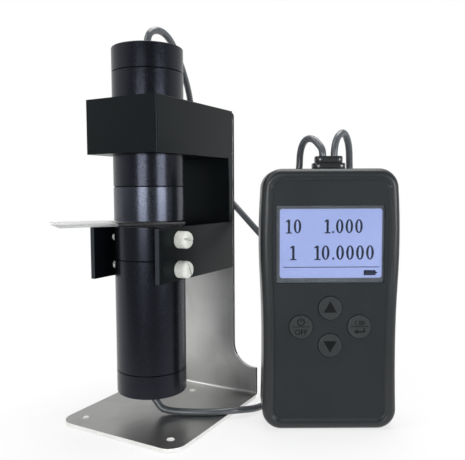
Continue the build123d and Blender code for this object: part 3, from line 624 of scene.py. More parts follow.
def evaluated(item: Piece) -> bpy.types.Mesh:
    """Give the plain mesh that an object's modifiers, curve or text come to."""
    bpy.context.view_layer.update()
    view = bpy.context.evaluated_depsgraph_get()
    return bpy.data.meshes.new_from_object(item.evaluated_get(view), depsgraph=view)


def settle(piece: Piece) -> None:
    """Turn a piece's modifiers into its plain mesh."""
    data = evaluated(piece)
    old = piece.data
    piece.modifiers.clear()
    piece.data = data
    data.name = piece.name
    if not old.users:
        bpy.data.meshes.remove(old)


def run_tree(piece: Piece, tree: Tree, values: dict) -> None:
    """Run a Geometry Nodes tree on a piece and keep the result as its mesh.

    Args:
        piece: the object that the tree works on.
        tree: the tree.
        values: the tree's inputs by name.
    """
    change = piece.modifiers.new("shape", "NODES")
    change.node_group = tree
    for item in tree.interface.items_tree:
        if item.item_type == "SOCKET" and item.in_out == "INPUT" and item.name in values:
            change[item.identifier] = values[item.name]
    settle(piece)


def smooth(piece: Piece, angle: float = SHARP_ANGLE) -> None:
    """Shade a mesh smoothly and mark edges sharper than an angle in degrees."""
    piece.data.shade_smooth()
    piece.data.set_sharp_from_angle(angle=math.radians(angle))


def bevel(piece: Piece, width: float, angle: float, segments: int) -> None:
    """Round the edges that are sharper than an angle in degrees, by a width in millimetres."""
    edge = piece.modifiers.new("rounded_edges", "BEVEL")
    edge.width = width * MM
    edge.segments = segments
    edge.limit_method = "ANGLE"
    edge.angle_limit = math.radians(angle)


def even_out(piece: Piece) -> None:
    """Let the large faces of a piece lead its shading."""
    piece.modifiers.new("even_shading", "WEIGHTED_NORMAL").weight = 90


def close_shell(data: bpy.types.Mesh) -> None:
    """Merge a mesh's doubles and point its faces outwards."""
    with edited(data) as shape:
        bmesh.ops.remove_doubles(shape, verts=shape.verts, dist=1e-6)
        bmesh.ops.recalc_face_normals(shape, faces=shape.faces)


def split(shape: bmesh.types.BMesh, place: Sequence[float], normal: Sequence[float]) -> None:
    """Cut the faces that a plane crosses along that plane."""
    geometry = [*shape.verts, *shape.edges, *shape.faces]
    bmesh.ops.bisect_plane(shape, geom=geometry, plane_co=place, plane_no=normal)


def round_corners(outline: Outline, rounds: Sequence[float], steps: int = 4) -> list[Flat]:
    """Round the corners of a flat outline.

    Args:
        outline: the corners in order. Ends that lie on the axis stay as they are.
        rounds: radius at each corner.
        steps: runs in each rounded corner.

    Returns:
        The points of the rounded outline.
    """
    points: list[Flat] = []
    for index, (corner, size) in enumerate(zip(outline, rounds)):
        here = Vector(corner)
        before = Vector(outline[index - 1])
        after = Vector(outline[(index + 1) % len(outline)])
        if abs(corner[0]) < ON_AXIS or size <= 0:
            points.append(tuple(here))
            continue
        arriving, leaving = (before - here).normalized(), (after - here).normalized()
        reach = size / math.tan(max(LEAST_TURN, arriving.angle(leaving)) / 2)
        reach = min(reach, RUN_SHARE * (before - here).length, RUN_SHARE * (after - here).length)
        start, end = here + arriving * reach, here + leaving * reach
        for step in range(steps + 1):
            share = step / steps
            points.append(tuple((1 - share) ** 2 * start + 2 * share * (1 - share) * here + share**2 * end))
    return points


def prism(name: str, outlines: Sequence[Outline], low: float, high: float, place: Matrix,
          edge: float = 0.0) -> Piece:
    """Raise flat outlines into one thin closed piece.

    Args:
        name: the piece's name.
        outlines: closed outlines in order, each one a solid of its own, in millimetres.
        low: level of the back face.
        high: level of the front face.
        place: matrix that lays the shape in the stand's frame.
        edge: width of a bevel on its edges, in millimetres.

    Returns:
        The new piece.
    """
    data = bpy.data.meshes.new(name)
    with edited(data) as shape:
        for outline in outlines:
            face = shape.faces.new([shape.verts.new((x, y, low)) for x, y in outline])
            for item in bmesh.ops.extrude_face_region(shape, geom=[face])["geom"]:
                if isinstance(item, bmesh.types.BMVert):
                    item.co.z = high
        bmesh.ops.recalc_face_normals(shape, faces=shape.faces)
    data.transform(place)
    piece = add_object(name, data)
    if edge:
        bevel(piece, edge, angle=50.0, segments=2)
        settle(piece)
    smooth(piece)
    return piece


def shape_tree(name: str, **inputs: str) -> tuple[Wiring, bpy.types.NodeOutputs]:
    """Start a Geometry Nodes tree.

    Args:
        name: the tree's name.
        inputs: socket types of its inputs besides Geometry, by name.

    Returns:
        The tree's wiring and its inputs.
    """
    tree = bpy.data.node_groups.new(name, "GeometryNodeTree")
    for title, kind in {"Geometry": "NodeSocketGeometry", **inputs}.items():
        tree.interface.new_socket(title, in_out="INPUT", socket_type=kind)
    tree.interface.new_socket("Geometry", in_out="OUTPUT", socket_type="NodeSocketGeometry")
    wiring = Wiring(tree)
    return wiring, wiring.node("NodeGroupInput").outputs


def close_tree(wiring: Wiring, geometry: Socket) -> Tree:
    """End a Geometry Nodes tree in Realize Instances and Set Material."""
    plain = wiring.node("GeometryNodeRealizeInstances", {"Geometry": geometry})
    coated = wiring.node("GeometryNodeSetMaterial", {"Geometry": plain.outputs[0]})
    return wiring.close(Geometry=coated.outputs[0])


def turning_tree() -> Tree:
    """Build the Geometry Nodes tree that turns a wire outline about the Z axis.

    Returns:
        A tree with the inputs Geometry and Segments.
    """
    wiring, source = shape_tree("turned_piece", Segments="NodeSocketInt")
    outline, segments = source["Geometry"], source["Segments"]
    points = wiring.node("GeometryNodeAttributeDomainSize", {"Geometry": outline}).outputs["Point Count"]
    columns = wiring.number("ADD", segments, 1.0)
    grid = wiring.node(
        "GeometryNodeMeshGrid", {"Size X": 1.0, "Size Y": 1.0, "Vertices X": columns, "Vertices Y": points}
    )
    index = wiring.node("GeometryNodeInputIndex").outputs[0]
    nudged = wiring.number("ADD", wiring.number("DIVIDE", index, points), 0.0001)
    column, row = wiring.number("FLOOR", nudged), wiring.number("MODULO", index, points)
    position = wiring.node("GeometryNodeInputPosition").outputs[0]
    sample = wiring.node(
        "GeometryNodeSampleIndex", {"Geometry": outline, "Value": position, "Index": row},
        data_type="FLOAT_VECTOR",
    )
    angle = wiring.number("MULTIPLY", wiring.number("DIVIDE", column, segments), math.tau)
    turned = wiring.node(
        "ShaderNodeVectorRotate", {"Vector": sample.outputs["Value"], "Angle": angle}, rotation_type="Z_AXIS"
    )
    placed = wiring.node(
        "GeometryNodeSetPosition", {"Geometry": grid.outputs["Mesh"], "Position": turned.outputs["Vector"]}
    )
    merged = wiring.node("GeometryNodeMergeByDistance", {"Geometry": placed.outputs[0], "Distance": 0.000001})
    return close_tree(wiring, merged.outputs[0])


def seating_tree() -> Tree:
    """Build the Geometry Nodes tree that sets one item on every point of a mesh.

    Returns:
        A tree with the inputs Geometry, Item, Direction and Seed.
    """
    wiring, source = shape_tree(
        "seated_items", Item="NodeSocketObject", Direction="NodeSocketVector", Seed="NodeSocketInt"
    )
    item = wiring.node("GeometryNodeObjectInfo", {"Object": source["Item"]})
    spin = wiring.node(
        "FunctionNodeRandomValue", {2: 0.0, 3: math.tau, "Seed": source["Seed"]}, data_type="FLOAT"
    )
    stand = wiring.node("FunctionNodeAlignRotationToVector", {"Vector": source["Direction"]}, axis="Z")
    about = wiring.node("FunctionNodeAxisAngleToRotation", {"Axis": (0, 0, 1), "Angle": spin.outputs[1]})
    turned = wiring.node(
        "FunctionNodeRotateRotation", {"Rotation": stand.outputs[0], "Rotate By": about.outputs[0]},
        rotation_space="LOCAL",
    )
    copies = wiring.node(
        "GeometryNodeInstanceOnPoints",
        {"Points": source["Geometry"], "Instance": item.outputs["Geometry"], "Rotation": turned.outputs[0]},
    )
    return close_tree(wiring, copies.outputs[0])


@dataclass(frozen=True)
class Screw:
    """A pan-head screw with a cross recess, in millimetres. The recess is given as shares of the head."""

    shank: float
    length: float
    head: float
    height: float
    recess_length: float = 0.56
    recess_width: float = 0.13
    recess_taper: float = 0.55
    recess_foot: float = 0.35

    def build(self, workshop: Workshop) -> Piece:
        """Make the screw with its seat at the origin and its head up.

        Args:
            workshop: the workshop, for its turning tree.

        Returns:
            The screw as an object at the origin, in metres.
        """
        shank, length, head, height = self.shank, self.length, self.head, self.height
        outline = [(0, -length), (shank * 0.4, -length), (shank / 2, -length + shank * 0.15), (shank / 2, 0),
                   (head / 2, 0), (head / 2, height * 0.45), (head * 0.4, height * 0.85), (0, height)]
        rounds = [0, 0, 0, 0.05, 0.08, height * 0.4, height * 0.3, 0]
        screw = wire("screw_item", round_corners(outline, rounds))
        run_tree(screw, workshop.turning, {"Segments": 48})
        close_shell(screw.data)
        cutters = [self._blade(turn) for turn in (0.0, math.pi / 2)]
        for cutter in cutters:
            cut = screw.modifiers.new("recess", "BOOLEAN")
            cut.object = cutter
            cut.operation = "DIFFERENCE"
            cut.solver = "EXACT"
        settle(screw)
        for cutter in cutters:
            bpy.data.objects.remove(cutter)
        return screw

    def _blade(self, turn: float) -> Piece:
        """Make one blade of the recess, turned by an angle in radians."""
        data = bpy.data.meshes.new("recess")
        with edited(data) as blade:
            bmesh.ops.create_cube(blade, size=1.0)
            for corner in blade.verts:
                top = corner.co.z > 0
                narrow = 1.0 if top else self.recess_taper
                corner.co.x *= self.head * self.recess_length * narrow
                corner.co.y *= self.head * self.recess_width * narrow
                corner.co.z = self.height * (1.2 if top else self.recess_foot)
            bmesh.ops.rotate(blade, cent=(0, 0, 0), matrix=Matrix.Rotation(turn, 3, "Z"), verts=blade.verts)
        data.transform(Matrix.Scale(MM, 4))
        return add_object("recess", data)


# Sub-assemblies


@dataclass
class Stand:
    """The bent steel sheet and the black bracket that it carries, with their screws."""

    upright_back: float = 53.75
    screw_side: float = 12.0
    screw_heights: Flat = (158.6, 92.85)
    screw: Screw = Screw(shank=4.0, length=6.2, head=7.6, height=2.5)
    arm_top: float = 108.0
    arm_front: float = -21.5
    base_top: float = 2.05
    cut_height: float = 2.1
    highlight_back: float = 45.0

    def build(self, workshop: Workshop) -> None:
        """Make and mount the stand's pieces."""
        plate = workshop.soften("stand_plate", STEEL, "sheet_steel", 0.22)
        self._edges(workshop, plate.data)
        bracket = workshop.soften("bracket", BRACKET, "bracket_black", 0.16).data
        workshop.add(bracket, ARM_FRONT_PAINTED_LIGHT)
        # Painted light: the lower arm's front faces get the lighter black.
        for face in bracket.polygons:
            middle = face.center / MM
            if face.normal.y < -SQUARE_ON and middle.y < self.arm_front and middle.z < self.arm_top:
                face.material_index = 1
        workshop.soften("grub_screw", SCREW, "screw_black", 0.08)
        seats = [
            Vector((side * self.screw_side, self.upright_back, height)) * MM
            for height in self.screw_heights for side in (-1, 1)
        ]
        workshop.seated("bracket_screws", self.screw.build(workshop), seats, Vector((0, 1, 0)), seed=3)

    def _edges(self, workshop: Workshop, plate: bpy.types.Mesh) -> None:
        """Part the sheet's finishes: its low cut edge gets a painted highlight, the upright's sides get
        painted shade, and the upright's front gets a lighter steel as painted light.

        Args:
            workshop: the workshop, for its materials.
            plate: the dressed sheet's mesh.
        """
        workshop.add(plate, EDGE_PAINTED_HIGHLIGHT, EDGE_PAINTED_SHADE, UPRIGHT_PAINTED_LIGHT)
        with edited(plate) as shape:
            split(shape, (0, 0, self.cut_height * MM), (0, 0, 1))
        for face in plate.polygons:
            low = face.center.z < self.base_top * MM
            # Painted highlight: the low cut edge towards the front is painted bright.
            if low and abs(face.normal.z) < NEARLY_SQUARE_ON and face.center.y < self.highlight_back * MM:
                face.material_index = 1
            # Painted shade: the upright's side faces are painted dark.
            elif not low and abs(face.normal.x) > SQUARE_ON:
                face.material_index = 2
            # Painted light: the upright's front faces get the lighter copy of the steel.
            elif not low and face.normal.y < -NEARLY_SQUARE_ON:
                face.material_index = 3


@dataclass
class Heads:
    """The two turned heads on the optical axis, with their grommets."""

    radius: float = 19.0
    bore: float = 16.5
    spigot: float = 16.45
    rim: float = 0.3
    seam: float = 0.27
    seam_depth: float = 0.5
    seam_round: float = 0.07

    def build(self, workshop: Workshop) -> None:
        """Make and mount both heads."""
        r, bore, spigot, rim, seam, soft = (
            self.radius, self.bore, self.spigot, self.rim, self.seam, self.seam_round
        )
        deep = r - self.seam_depth

        def tube(low: float, high: float) -> list[Flat]:
            """Give the outline of a tube between two seams."""
            return [(bore, low), (deep, low), (deep, low + seam), (r, low + seam),
                    (r, high - seam), (deep, high - seam), (deep, high), (bore, high)]

        head = [
            ("sensor_nose", "root", [(9, 109.6), (r, 109.6), (r, 127.8 - seam), (deep, 127.8 - seam),
                                     (deep, 127.8), (spigot, 127.8), (spigot, 133.8), (12.05, 133.8),
                                     (12.05, 110.6), (9, 110.6)],
             [0.2, rim, soft, 0, 0, 0, 0.1, 0.1, 0, 0.1]),
            ("sensor_tube", "root", tube(127.8, 187.7), [0, 0, 0, soft, soft, 0, 0, 0]),
            ("sensor_cap", "root", [(14, 181.7), (spigot, 181.7), (spigot, 187.7), (deep, 187.7),
                                    (deep, 187.7 + seam), (r, 187.7 + seam), (r, 200.6), (4.55, 200.6),
                                    (4.55, 196.6), (14, 196.6)],
             [0.1, 0.1, 0, 0, 0, soft, 0.6, 0.1, 0, 0]),
            ("lamp_collar", "lower_head", [(12.05, 83.1), (spigot, 83.1), (spigot, 89.1), (deep, 89.1),
                                           (deep, 89.1 + seam), (r, 89.1 + seam), (r, 107), (14.05, 107),
                                           (14.05, 104.8), (10.8, 104.8), (10.8, 103.6), (12.05, 103.6)],
             [0.1, 0.1, 0, 0, 0, soft, rim, 0.15, 0, 0.1, 0.1, 0]),
            ("lamp_tube", "lower_head", tube(28.7, 89.1), [0, 0, 0, soft, soft, 0, 0, 0]),
            ("lamp_cap", "lower_head", [(4.55, 16.3), (r, 16.3), (r, 28.7 - seam), (deep, 28.7 - seam),
                                        (deep, 28.7), (spigot, 28.7), (spigot, 34.7), (14, 34.7),
                                        (14, 20.3), (4.55, 20.3)],
             [0.1, 0.6, soft, 0, 0, 0, 0.1, 0.1, 0, 0]),
        ]
        for node, body, outline, rounds in head:
            finish = NOSE if node == "sensor_nose" else HEAD
            workshop.turned(node, outline, rounds, finish, body, "head_black")
        grommet = [(0, 0), (6, 0), (6, 1.2), (4.5, 1.2), (4.5, 5.2), (6, 5.2), (6, 6.4), (0, 6.4)]
        for node, body, foot, way in (
            ("sensor_grommet", "root", 195.4, 1), ("lamp_grommet", "lower_head", 21.5, -1)
        ):
            outline = [(radius, foot + way * level) for radius, level in grommet]
            workshop.turned(node, outline, [0, 0.2, 0.2, 0, 0, 0.1, 0.8, 0], GROMMET, body, "grommet_rubber",
                            segments=64)
        workshop.dress(GLASS, "sensor_window", "condenser_lens")
        workshop.dress(OPAL, "opal_window", "lamp")
        workshop.dress(HEAD, "sensor_window_ring", "lens_ring")
        workshop.dress(BOARD, "sensor_board", "lamp_board")
        workshop.dress(CHROME, "sensor_can", "sensor_board_screws")
        workshop.dress(SINK, "heat_sink")
        workshop.dress(CABLE, "sensor_lead", "lamp_lead")


@dataclass
class ClampScrews:
    """The four nylon clamp screws, each one left at its own turn in degrees."""

    y: float = -5.7
    heights: Flat = (100.3, 84.9)
    turns: tuple[float, ...] = (78.0, 24.0, 50.0, 105.0)

    def build(self, workshop: Workshop) -> None:
        """Make and mount the screws."""
        levels = list(zip(("upper", "lower"), self.heights))
        places = [(side, *level) for side in ("right", "left") for level in levels]
        for (side, level, height), turn in zip(places, self.turns):
            pivot = Matrix.Translation(Vector((0, self.y, height)) * MM)
            spin = pivot @ Matrix.Rotation(math.radians(turn), 4, "X") @ pivot.inverted()
            workshop.soften(f"clamp_screw_{side}_{level}", NYLON, "nylon_white", 0.22, turn=spin)


@dataclass
class SamplePlate:
    """The pale sheet in the gap: see-through faces, a darker upper rim and a dark patch of painted shade
    inside the gap between the heads.
    """

    edge: float = 0.15
    corner: Flat = (-24.0, -42.4)
    turn: float = 55.0
    shade_start: float = 30.0
    shade_width: float = 22.0
    rim_lean: float = 0.2
    face_lean: float = 0.9

    def build(self, workshop: Workshop) -> None:
        """Make and mount the plate, with finishes for its faces, its sides, its rim and its painted shade."""
        plate = workshop.soften("sample_plate", SAMPLE, "sample_pale", self.edge).data
        workshop.add(plate, SAMPLE_SIDE, SAMPLE_RIM, SAMPLE_PAINTED_SHADE)
        angle = math.radians(self.turn)
        along = Vector((math.cos(angle), math.sin(angle), 0))
        aside = Vector((-math.sin(angle), math.cos(angle), 0))
        corner = Vector((*self.corner, 0)) * MM
        start, width = self.shade_start * MM, self.shade_width * MM
        with edited(plate) as shape:
            split(shape, corner + along * start, along)
            split(shape, corner + aside * width, aside)
        for face in plate.polygons:
            lean = face.normal.z
            if abs(lean) < self.face_lean:
                face.material_index = 2 if lean > self.rim_lean else 1
            # Painted shade: the part of the sheet inside the gap is painted dark.
            spot = face.center - corner
            if spot.dot(along) > start and spot.dot(aside) < width:
                face.material_index = 3


@dataclass
class Display:
    """The window, its printed border, the lit picture behind it, and the reading on it."""

    half_width: float = 27.7
    low: float = 77.65
    high: float = 117.55
    lit: tuple[float, float, float, float] = (-26.0, 80.1, 26.8, 115.9)
    front: float = 1.5
    pane: float = 1.0
    ink: float = 0.02
    round: float = 1.3

    def build(self, workshop: Workshop) -> None:
        """Make and mount the display's pieces."""
        back = self.front + self.pane
        half, low, high = self.half_width, self.low, self.high
        left, bottom, right, top = self.lit
        whole = [box(-half, low, half, high)]
        border = [box(-half, low, half, bottom), box(-half, top, half, high), box(-half, bottom, left, top),
                  box(right, bottom, half, top), *self._corners()]
        pane = prism("display_window_dressed", whole, 0, self.pane, HANDSET.matrix(back), edge=0.15)
        workshop.mount(pane, WINDOW, "root", "display_clear", "display_window")
        for name, outlines, thick, behind, finish, slot in (
            ("display_border", border, 0.06, 0.08, BORDER, "switch_black"),
            ("display_picture", whole, 0.3, 0.4, LIT, "display_blue"),
            ("display_reading", self._reading(), self.ink, 0.09, INK, "switch_black"),
        ):
            piece = prism(name, outlines, 0, thick, HANDSET.matrix(back + behind))
            workshop.mount(piece, finish, "root", slot)

    def _corners(self) -> list[Outline]:
        """Fill the corners of the border, so that the lit area has round ones.

        Returns:
            Closed outlines of the four fillings.
        """
        left, bottom, right, top = self.lit
        fills = []
        for x, y, across, rise in ((left, bottom, 1, 1), (right, bottom, -1, 1), (right, top, -1, -1),
                                   (left, top, 1, -1)):
            middle = (x + across * self.round, y + rise * self.round)
            arc = [
                (middle[0] - across * self.round * math.cos(a), middle[1] - rise * self.round * math.sin(a))
                for a in [math.pi / 2 * i / 8 for i in range(9)]
            ]
            fills.append([(x, y), *arc])
        return fills

    @staticmethod
    def _reading() -> list[Outline]:
        """Lay out the two rows of plain numbers, the rule under them and the battery mark.

        Returns:
            Closed outlines in the handset's width and height.
        """
        rule, cell = box(-24.2, 85.5, 25.6, 85.9), box(17.5, 81.4, 23.6, 84.1)
        tip = [(23.6, 82.1), (24.5, 82.5), (24.5, 83.0), (23.6, 83.4)]
        numbers = [
            *write("10", -23.4, 103.3, 7.2, 5.45),
            *write("1.000", -3.5, 103.3, 7.2, 4.95),
            *write("1", -21.2, 89.5, 7.5, 5.2),
            *write("10.0000", -8.7, 89.5, 7.5, 5.15),
        ]
        return [*numbers, rule, cell, tip]


def write(text: str, left: float, base: float, height: float, step: float) -> list[Outline]:
    """Write a number of ones, noughts and points in upright serif figures.

    Args:
        text: the number.
        left: where it starts.
        base: the height of its foot.
        height: the height of the figures.
        step: the distance from one figure to the next.

    Returns:
        Closed outlines of four-sided pieces and rounds.
    """
    thick, thin = 0.165, 0.085
    figures = {
        "1": (0.78, [bar(0.3, 0.02, 0.3, 0.98, thick), bar(0.08, 0.03, 0.52, 0.03, thin),
                     bar(0.1, 0.82, 0.3, 0.97, thin * 1.3)]),
        "0": (1.0, oval(0.32, 0.5, 0.27, 0.5, thick, thin)),
        ".": (0.45, [ring_points(0.16, 0.08, 0.08, 0.08, 12)[:-1]]),
    }
    shapes: list[Outline] = []
    for figure in text:
        share, outlines = figures[figure]
        shapes += [[(left + x * height, base + y * height) for x, y in outline] for outline in outlines]
        left += step * share
    return shapes


def bar(x0: float, y0: float, x1: float, y1: float, width: float) -> Outline:
    """Give a straight stroke of a width between two points."""
    along = Vector((x1 - x0, y1 - y0)).normalized() * width / 2
    side = Vector((-along.y, along.x))
    return [(x0 - side.x, y0 - side.y), (x1 - side.x, y1 - side.y), (x1 + side.x, y1 + side.y),
            (x0 + side.x, y0 + side.y)]


def ring_points(x: float, y: float, wide: float, tall: float, steps: int) -> list[Flat]:
    """Give the points of an oval, of half a width and half a height, with its first one again at the end."""
    turns = [math.tau * i / steps for i in range(steps + 1)]
    return [(x + wide * math.cos(a), y + tall * math.sin(a)) for a in turns]


def oval(x: float, y: float, wide: float, tall: float, side: float, top: float) -> list[Outline]:
    """Give an oval stroke that is wide at its sides and narrow at its top.

    Args:
        x: the middle's place across.
        y: the middle's height.
        wide: half of its outer width.
        tall: half of its outer height.
        side: width of the stroke at the sides.
        top: width of the stroke at the top and foot.

    Returns:
        Four-sided outlines in order round the oval.
    """
    steps = 40
    outer = ring_points(x, y, wide, tall, steps)
    inner = ring_points(x, y, wide - side, tall - top, steps)
    return [[outer[i], outer[i + 1], inner[i + 1], inner[i]] for i in range(steps)]


@dataclass
class Buttons:
    """The four round buttons, with the marks printed on them."""

    radius: float = 6.15
    flange: float = 7.1
    front: float = 0.4
    middle: float = 54.8
    spread: Flat = (15.1, 9.8)
    ink: float = 0.025
    sunk: float = 0.01
    bold: float = 0.07

    def build(self, workshop: Workshop) -> None:
        """Make and mount the buttons and their marks."""
        across, rise = self.spread
        rule = box(-4.6, -0.1, 4.6, 0.3)
        power = [*self._open_ring(), box(-0.3, 2.6, 0.3, 4.9), rule]
        arrow = [rule, [(-3.0, -2.6), (-0.8, -3.9), (-0.8, -1.3)], box(-0.8, -3.0, 2.9, -2.2),
                 box(2.1, -2.2, 2.9, -0.8)]
        outline = [(0, -5.2), (2, -5.2), (2, -4.7), (self.flange, -4.7), (self.flange, -3.9),
                   (self.radius, -3.9), (self.radius, -self.front), (0, -self.front)]
        for name, side, height, shapes, legend in (
            ("up", 0.0, rise, [[(-3.5, -2.3), (3.5, -2.3), (0.0, 3.7)]], None),
            ("down", 0.0, -rise, [[(0.0, -3.7), (3.5, 2.3), (-3.5, 2.3)]], None),
            ("power", -across, 0.0, power, ("OFF", -3.9, 3.7)),
            ("enter", across, 0.0, arrow, ("1.00", 0.95, 3.2)),
        ):
            body = f"button_{name}_body"
            shift = Matrix.Translation((side, self.middle + height, 0))
            workshop.turned(f"button_{name}", outline, [0, 0.1, 0.1, 0.1, 0.1, 0, 0.42, 0], KEYS, body,
                            "key_grey", place=HANDSET.matrix() @ shift, segments=96)
            spot = HANDSET.matrix(self.front) @ shift
            mark = prism(f"button_{name}_mark", shapes, -self.sunk, self.ink, spot)
            if legend:
                self._letters(mark, spot, *legend)
            workshop.mount(mark, LEGEND, body, "switch_black")

    @staticmethod
    def _open_ring() -> list[Outline]:
        """Give the open ring of the power sign."""
        turns = [math.radians(120 + 300 * i / 24) for i in range(25)]
        return [
            [(r * math.cos(a), 2.6 + r * math.sin(a))
             for r, a in ((1.4, first), (2.05, first), (2.05, last), (1.4, last))]
            for first, last in zip(turns, turns[1:])
        ]

    def _letters(self, mark: Piece, spot: Matrix, words: str, low: float, size: float) -> None:
        """Add a short generic legend to a mark.

        Args:
            mark: the printed mark that gets it.
            spot: matrix of the button's middle.
            words: the legend.
            low: height of its foot over the middle.
            size: height of its letters' body in millimetres.
        """
        half = (self.ink + self.sunk) / 2
        text = bpy.data.curves.new("legend", "FONT")
        text.body = words
        text.size = size
        text.align_x = "CENTER"
        text.extrude = half
        text.offset = self.bold
        holder = add_object("legend", text)
        letters = evaluated(holder)
        letters.transform(spot @ Matrix.Translation((0, low, half - self.sunk)))
        with edited(mark.data) as shape:
            shape.from_mesh(letters)
        bpy.data.objects.remove(holder)


@dataclass
class Handset:
    """The handset's case, its panel, what it holds, and its rear fastenings."""

    screw_places: tuple[Flat, ...] = ((26.5, 124.0), (-26.5, 124.0), (26.0, 13.0), (-26.0, 13.0))
    screw_seat: float = 21.0
    screw: Screw = Screw(shank=2.6, length=11.0, head=4.6, height=2.0)

    def build(self, workshop: Workshop) -> None:
        """Make and mount the handset's pieces."""
        workshop.soften("front_shell", SHELL, "shell_grey", 0.34, segments=3)
        workshop.soften("rear_shell", SHELL, "shell_grey", 0.18)
        workshop.soften("face_panel", PANEL, "panel_grey", 0.18)
        workshop.soften("battery_door", SHELL, "shell_grey", 0.16)
        seats = [HANDSET.point(across, self.screw_seat, height) for across, height in self.screw_places]
        back = (HANDSET.point(0, 1, 0) - HANDSET.point(0, 0, 0)).normalized()
        workshop.seated("case_screws", self.screw.build(workshop), seats, back, seed=5)
        workshop.dress(LIT, "display_glass")
        workshop.dress(OPAL, "backlight")
        workshop.dress(BOARD, "main_board")
        workshop.dress(CHROME, "board_screws")
        workshop.dress(SWITCH, "key_switches", "handset_socket")
        workshop.dress(CELL, "battery_cells")
        workshop.dress(CONTACT, "battery_contacts")
        Display().build(workshop)
        Buttons().build(workshop)


@dataclass
class Cable:
    """A round cable that follows the control points of its route."""

    name: str
    route: Sequence[Point]
    diameter: float = 3.8
    sides: int = 20

    def spine(self) -> list[Vector]:
        """Read the points of the NURBS spline through the route, in order from its exit."""
        curve = bpy.data.curves.new(f"{self.name}_line", "CURVE")
        curve.dimensions = "3D"
        curve.resolution_u = 10
        line = curve.splines.new("NURBS")
        line.points.add(len(self.route) - 1)
        for point, place in zip(line.points, self.route):
            point.co = (*[value * MM for value in place], 1.0)
        line.order_u = 3
        line.use_endpoint_u = True
        holder = add_object(f"{self.name}_line", curve)
        data = evaluated(holder)
        points = [vertex.co.copy() for vertex in data.vertices]
        bpy.data.objects.remove(holder)
        bpy.data.meshes.remove(data)
        return points

    def tube(self) -> tuple[Piece, list[Vector], float]:
        """Make the cable's jacket round its line, with a UV map along and round it.

        Returns:
            The piece, its line's points and its line's length in metres.
        """
        spine = self.spine()
        girth = math.pi * self.diameter * MM
        turns = [math.tau * k / self.sides for k in range(self.sides)]
        rings, runs = [], [0.0]
        tangent = (spine[1] - spine[0]).normalized()
        side = tangent.orthogonal().normalized()
        data = bpy.data.meshes.new(self.name)
        with edited(data) as shape:
            unwrap = shape.loops.layers.uv.new("along")
            for index, point in enumerate(spine):
                ahead = spine[min(index + 1, len(spine) - 1)] - spine[max(index - 1, 0)]
                turned = tangent.rotation_difference(ahead.normalized())
                side = (turned @ side).normalized()
                tangent = ahead.normalized()
                other = tangent.cross(side)
                if index:
                    runs.append(runs[-1] + (point - spine[index - 1]).length)
                spokes = [(side * math.cos(a) + other * math.sin(a)) * self.diameter / 2 * MM for a in turns]
                rings.append([shape.verts.new(point + spoke) for spoke in spokes])
            for index, (ring, beyond) in enumerate(zip(rings, rings[1:])):
                for k in range(self.sides):
                    after = (k + 1) % self.sides
                    face = shape.faces.new((ring[k], ring[after], beyond[after], beyond[k]))
                    corners = ((k, index), (k + 1, index), (k + 1, index + 1), (k, index + 1))
                    for loop, (turn, place) in zip(face.loops, corners):
                        loop[unwrap].uv = (turn / self.sides * girth, runs[place])
            for ring in (rings[0], rings[-1]):
                shape.faces.new(ring)
            bmesh.ops.recalc_face_normals(shape, faces=shape.faces)
        piece = add_object(self.name, data)
        smooth(piece, angle=50.0)
        return piece, spine, runs[-1]


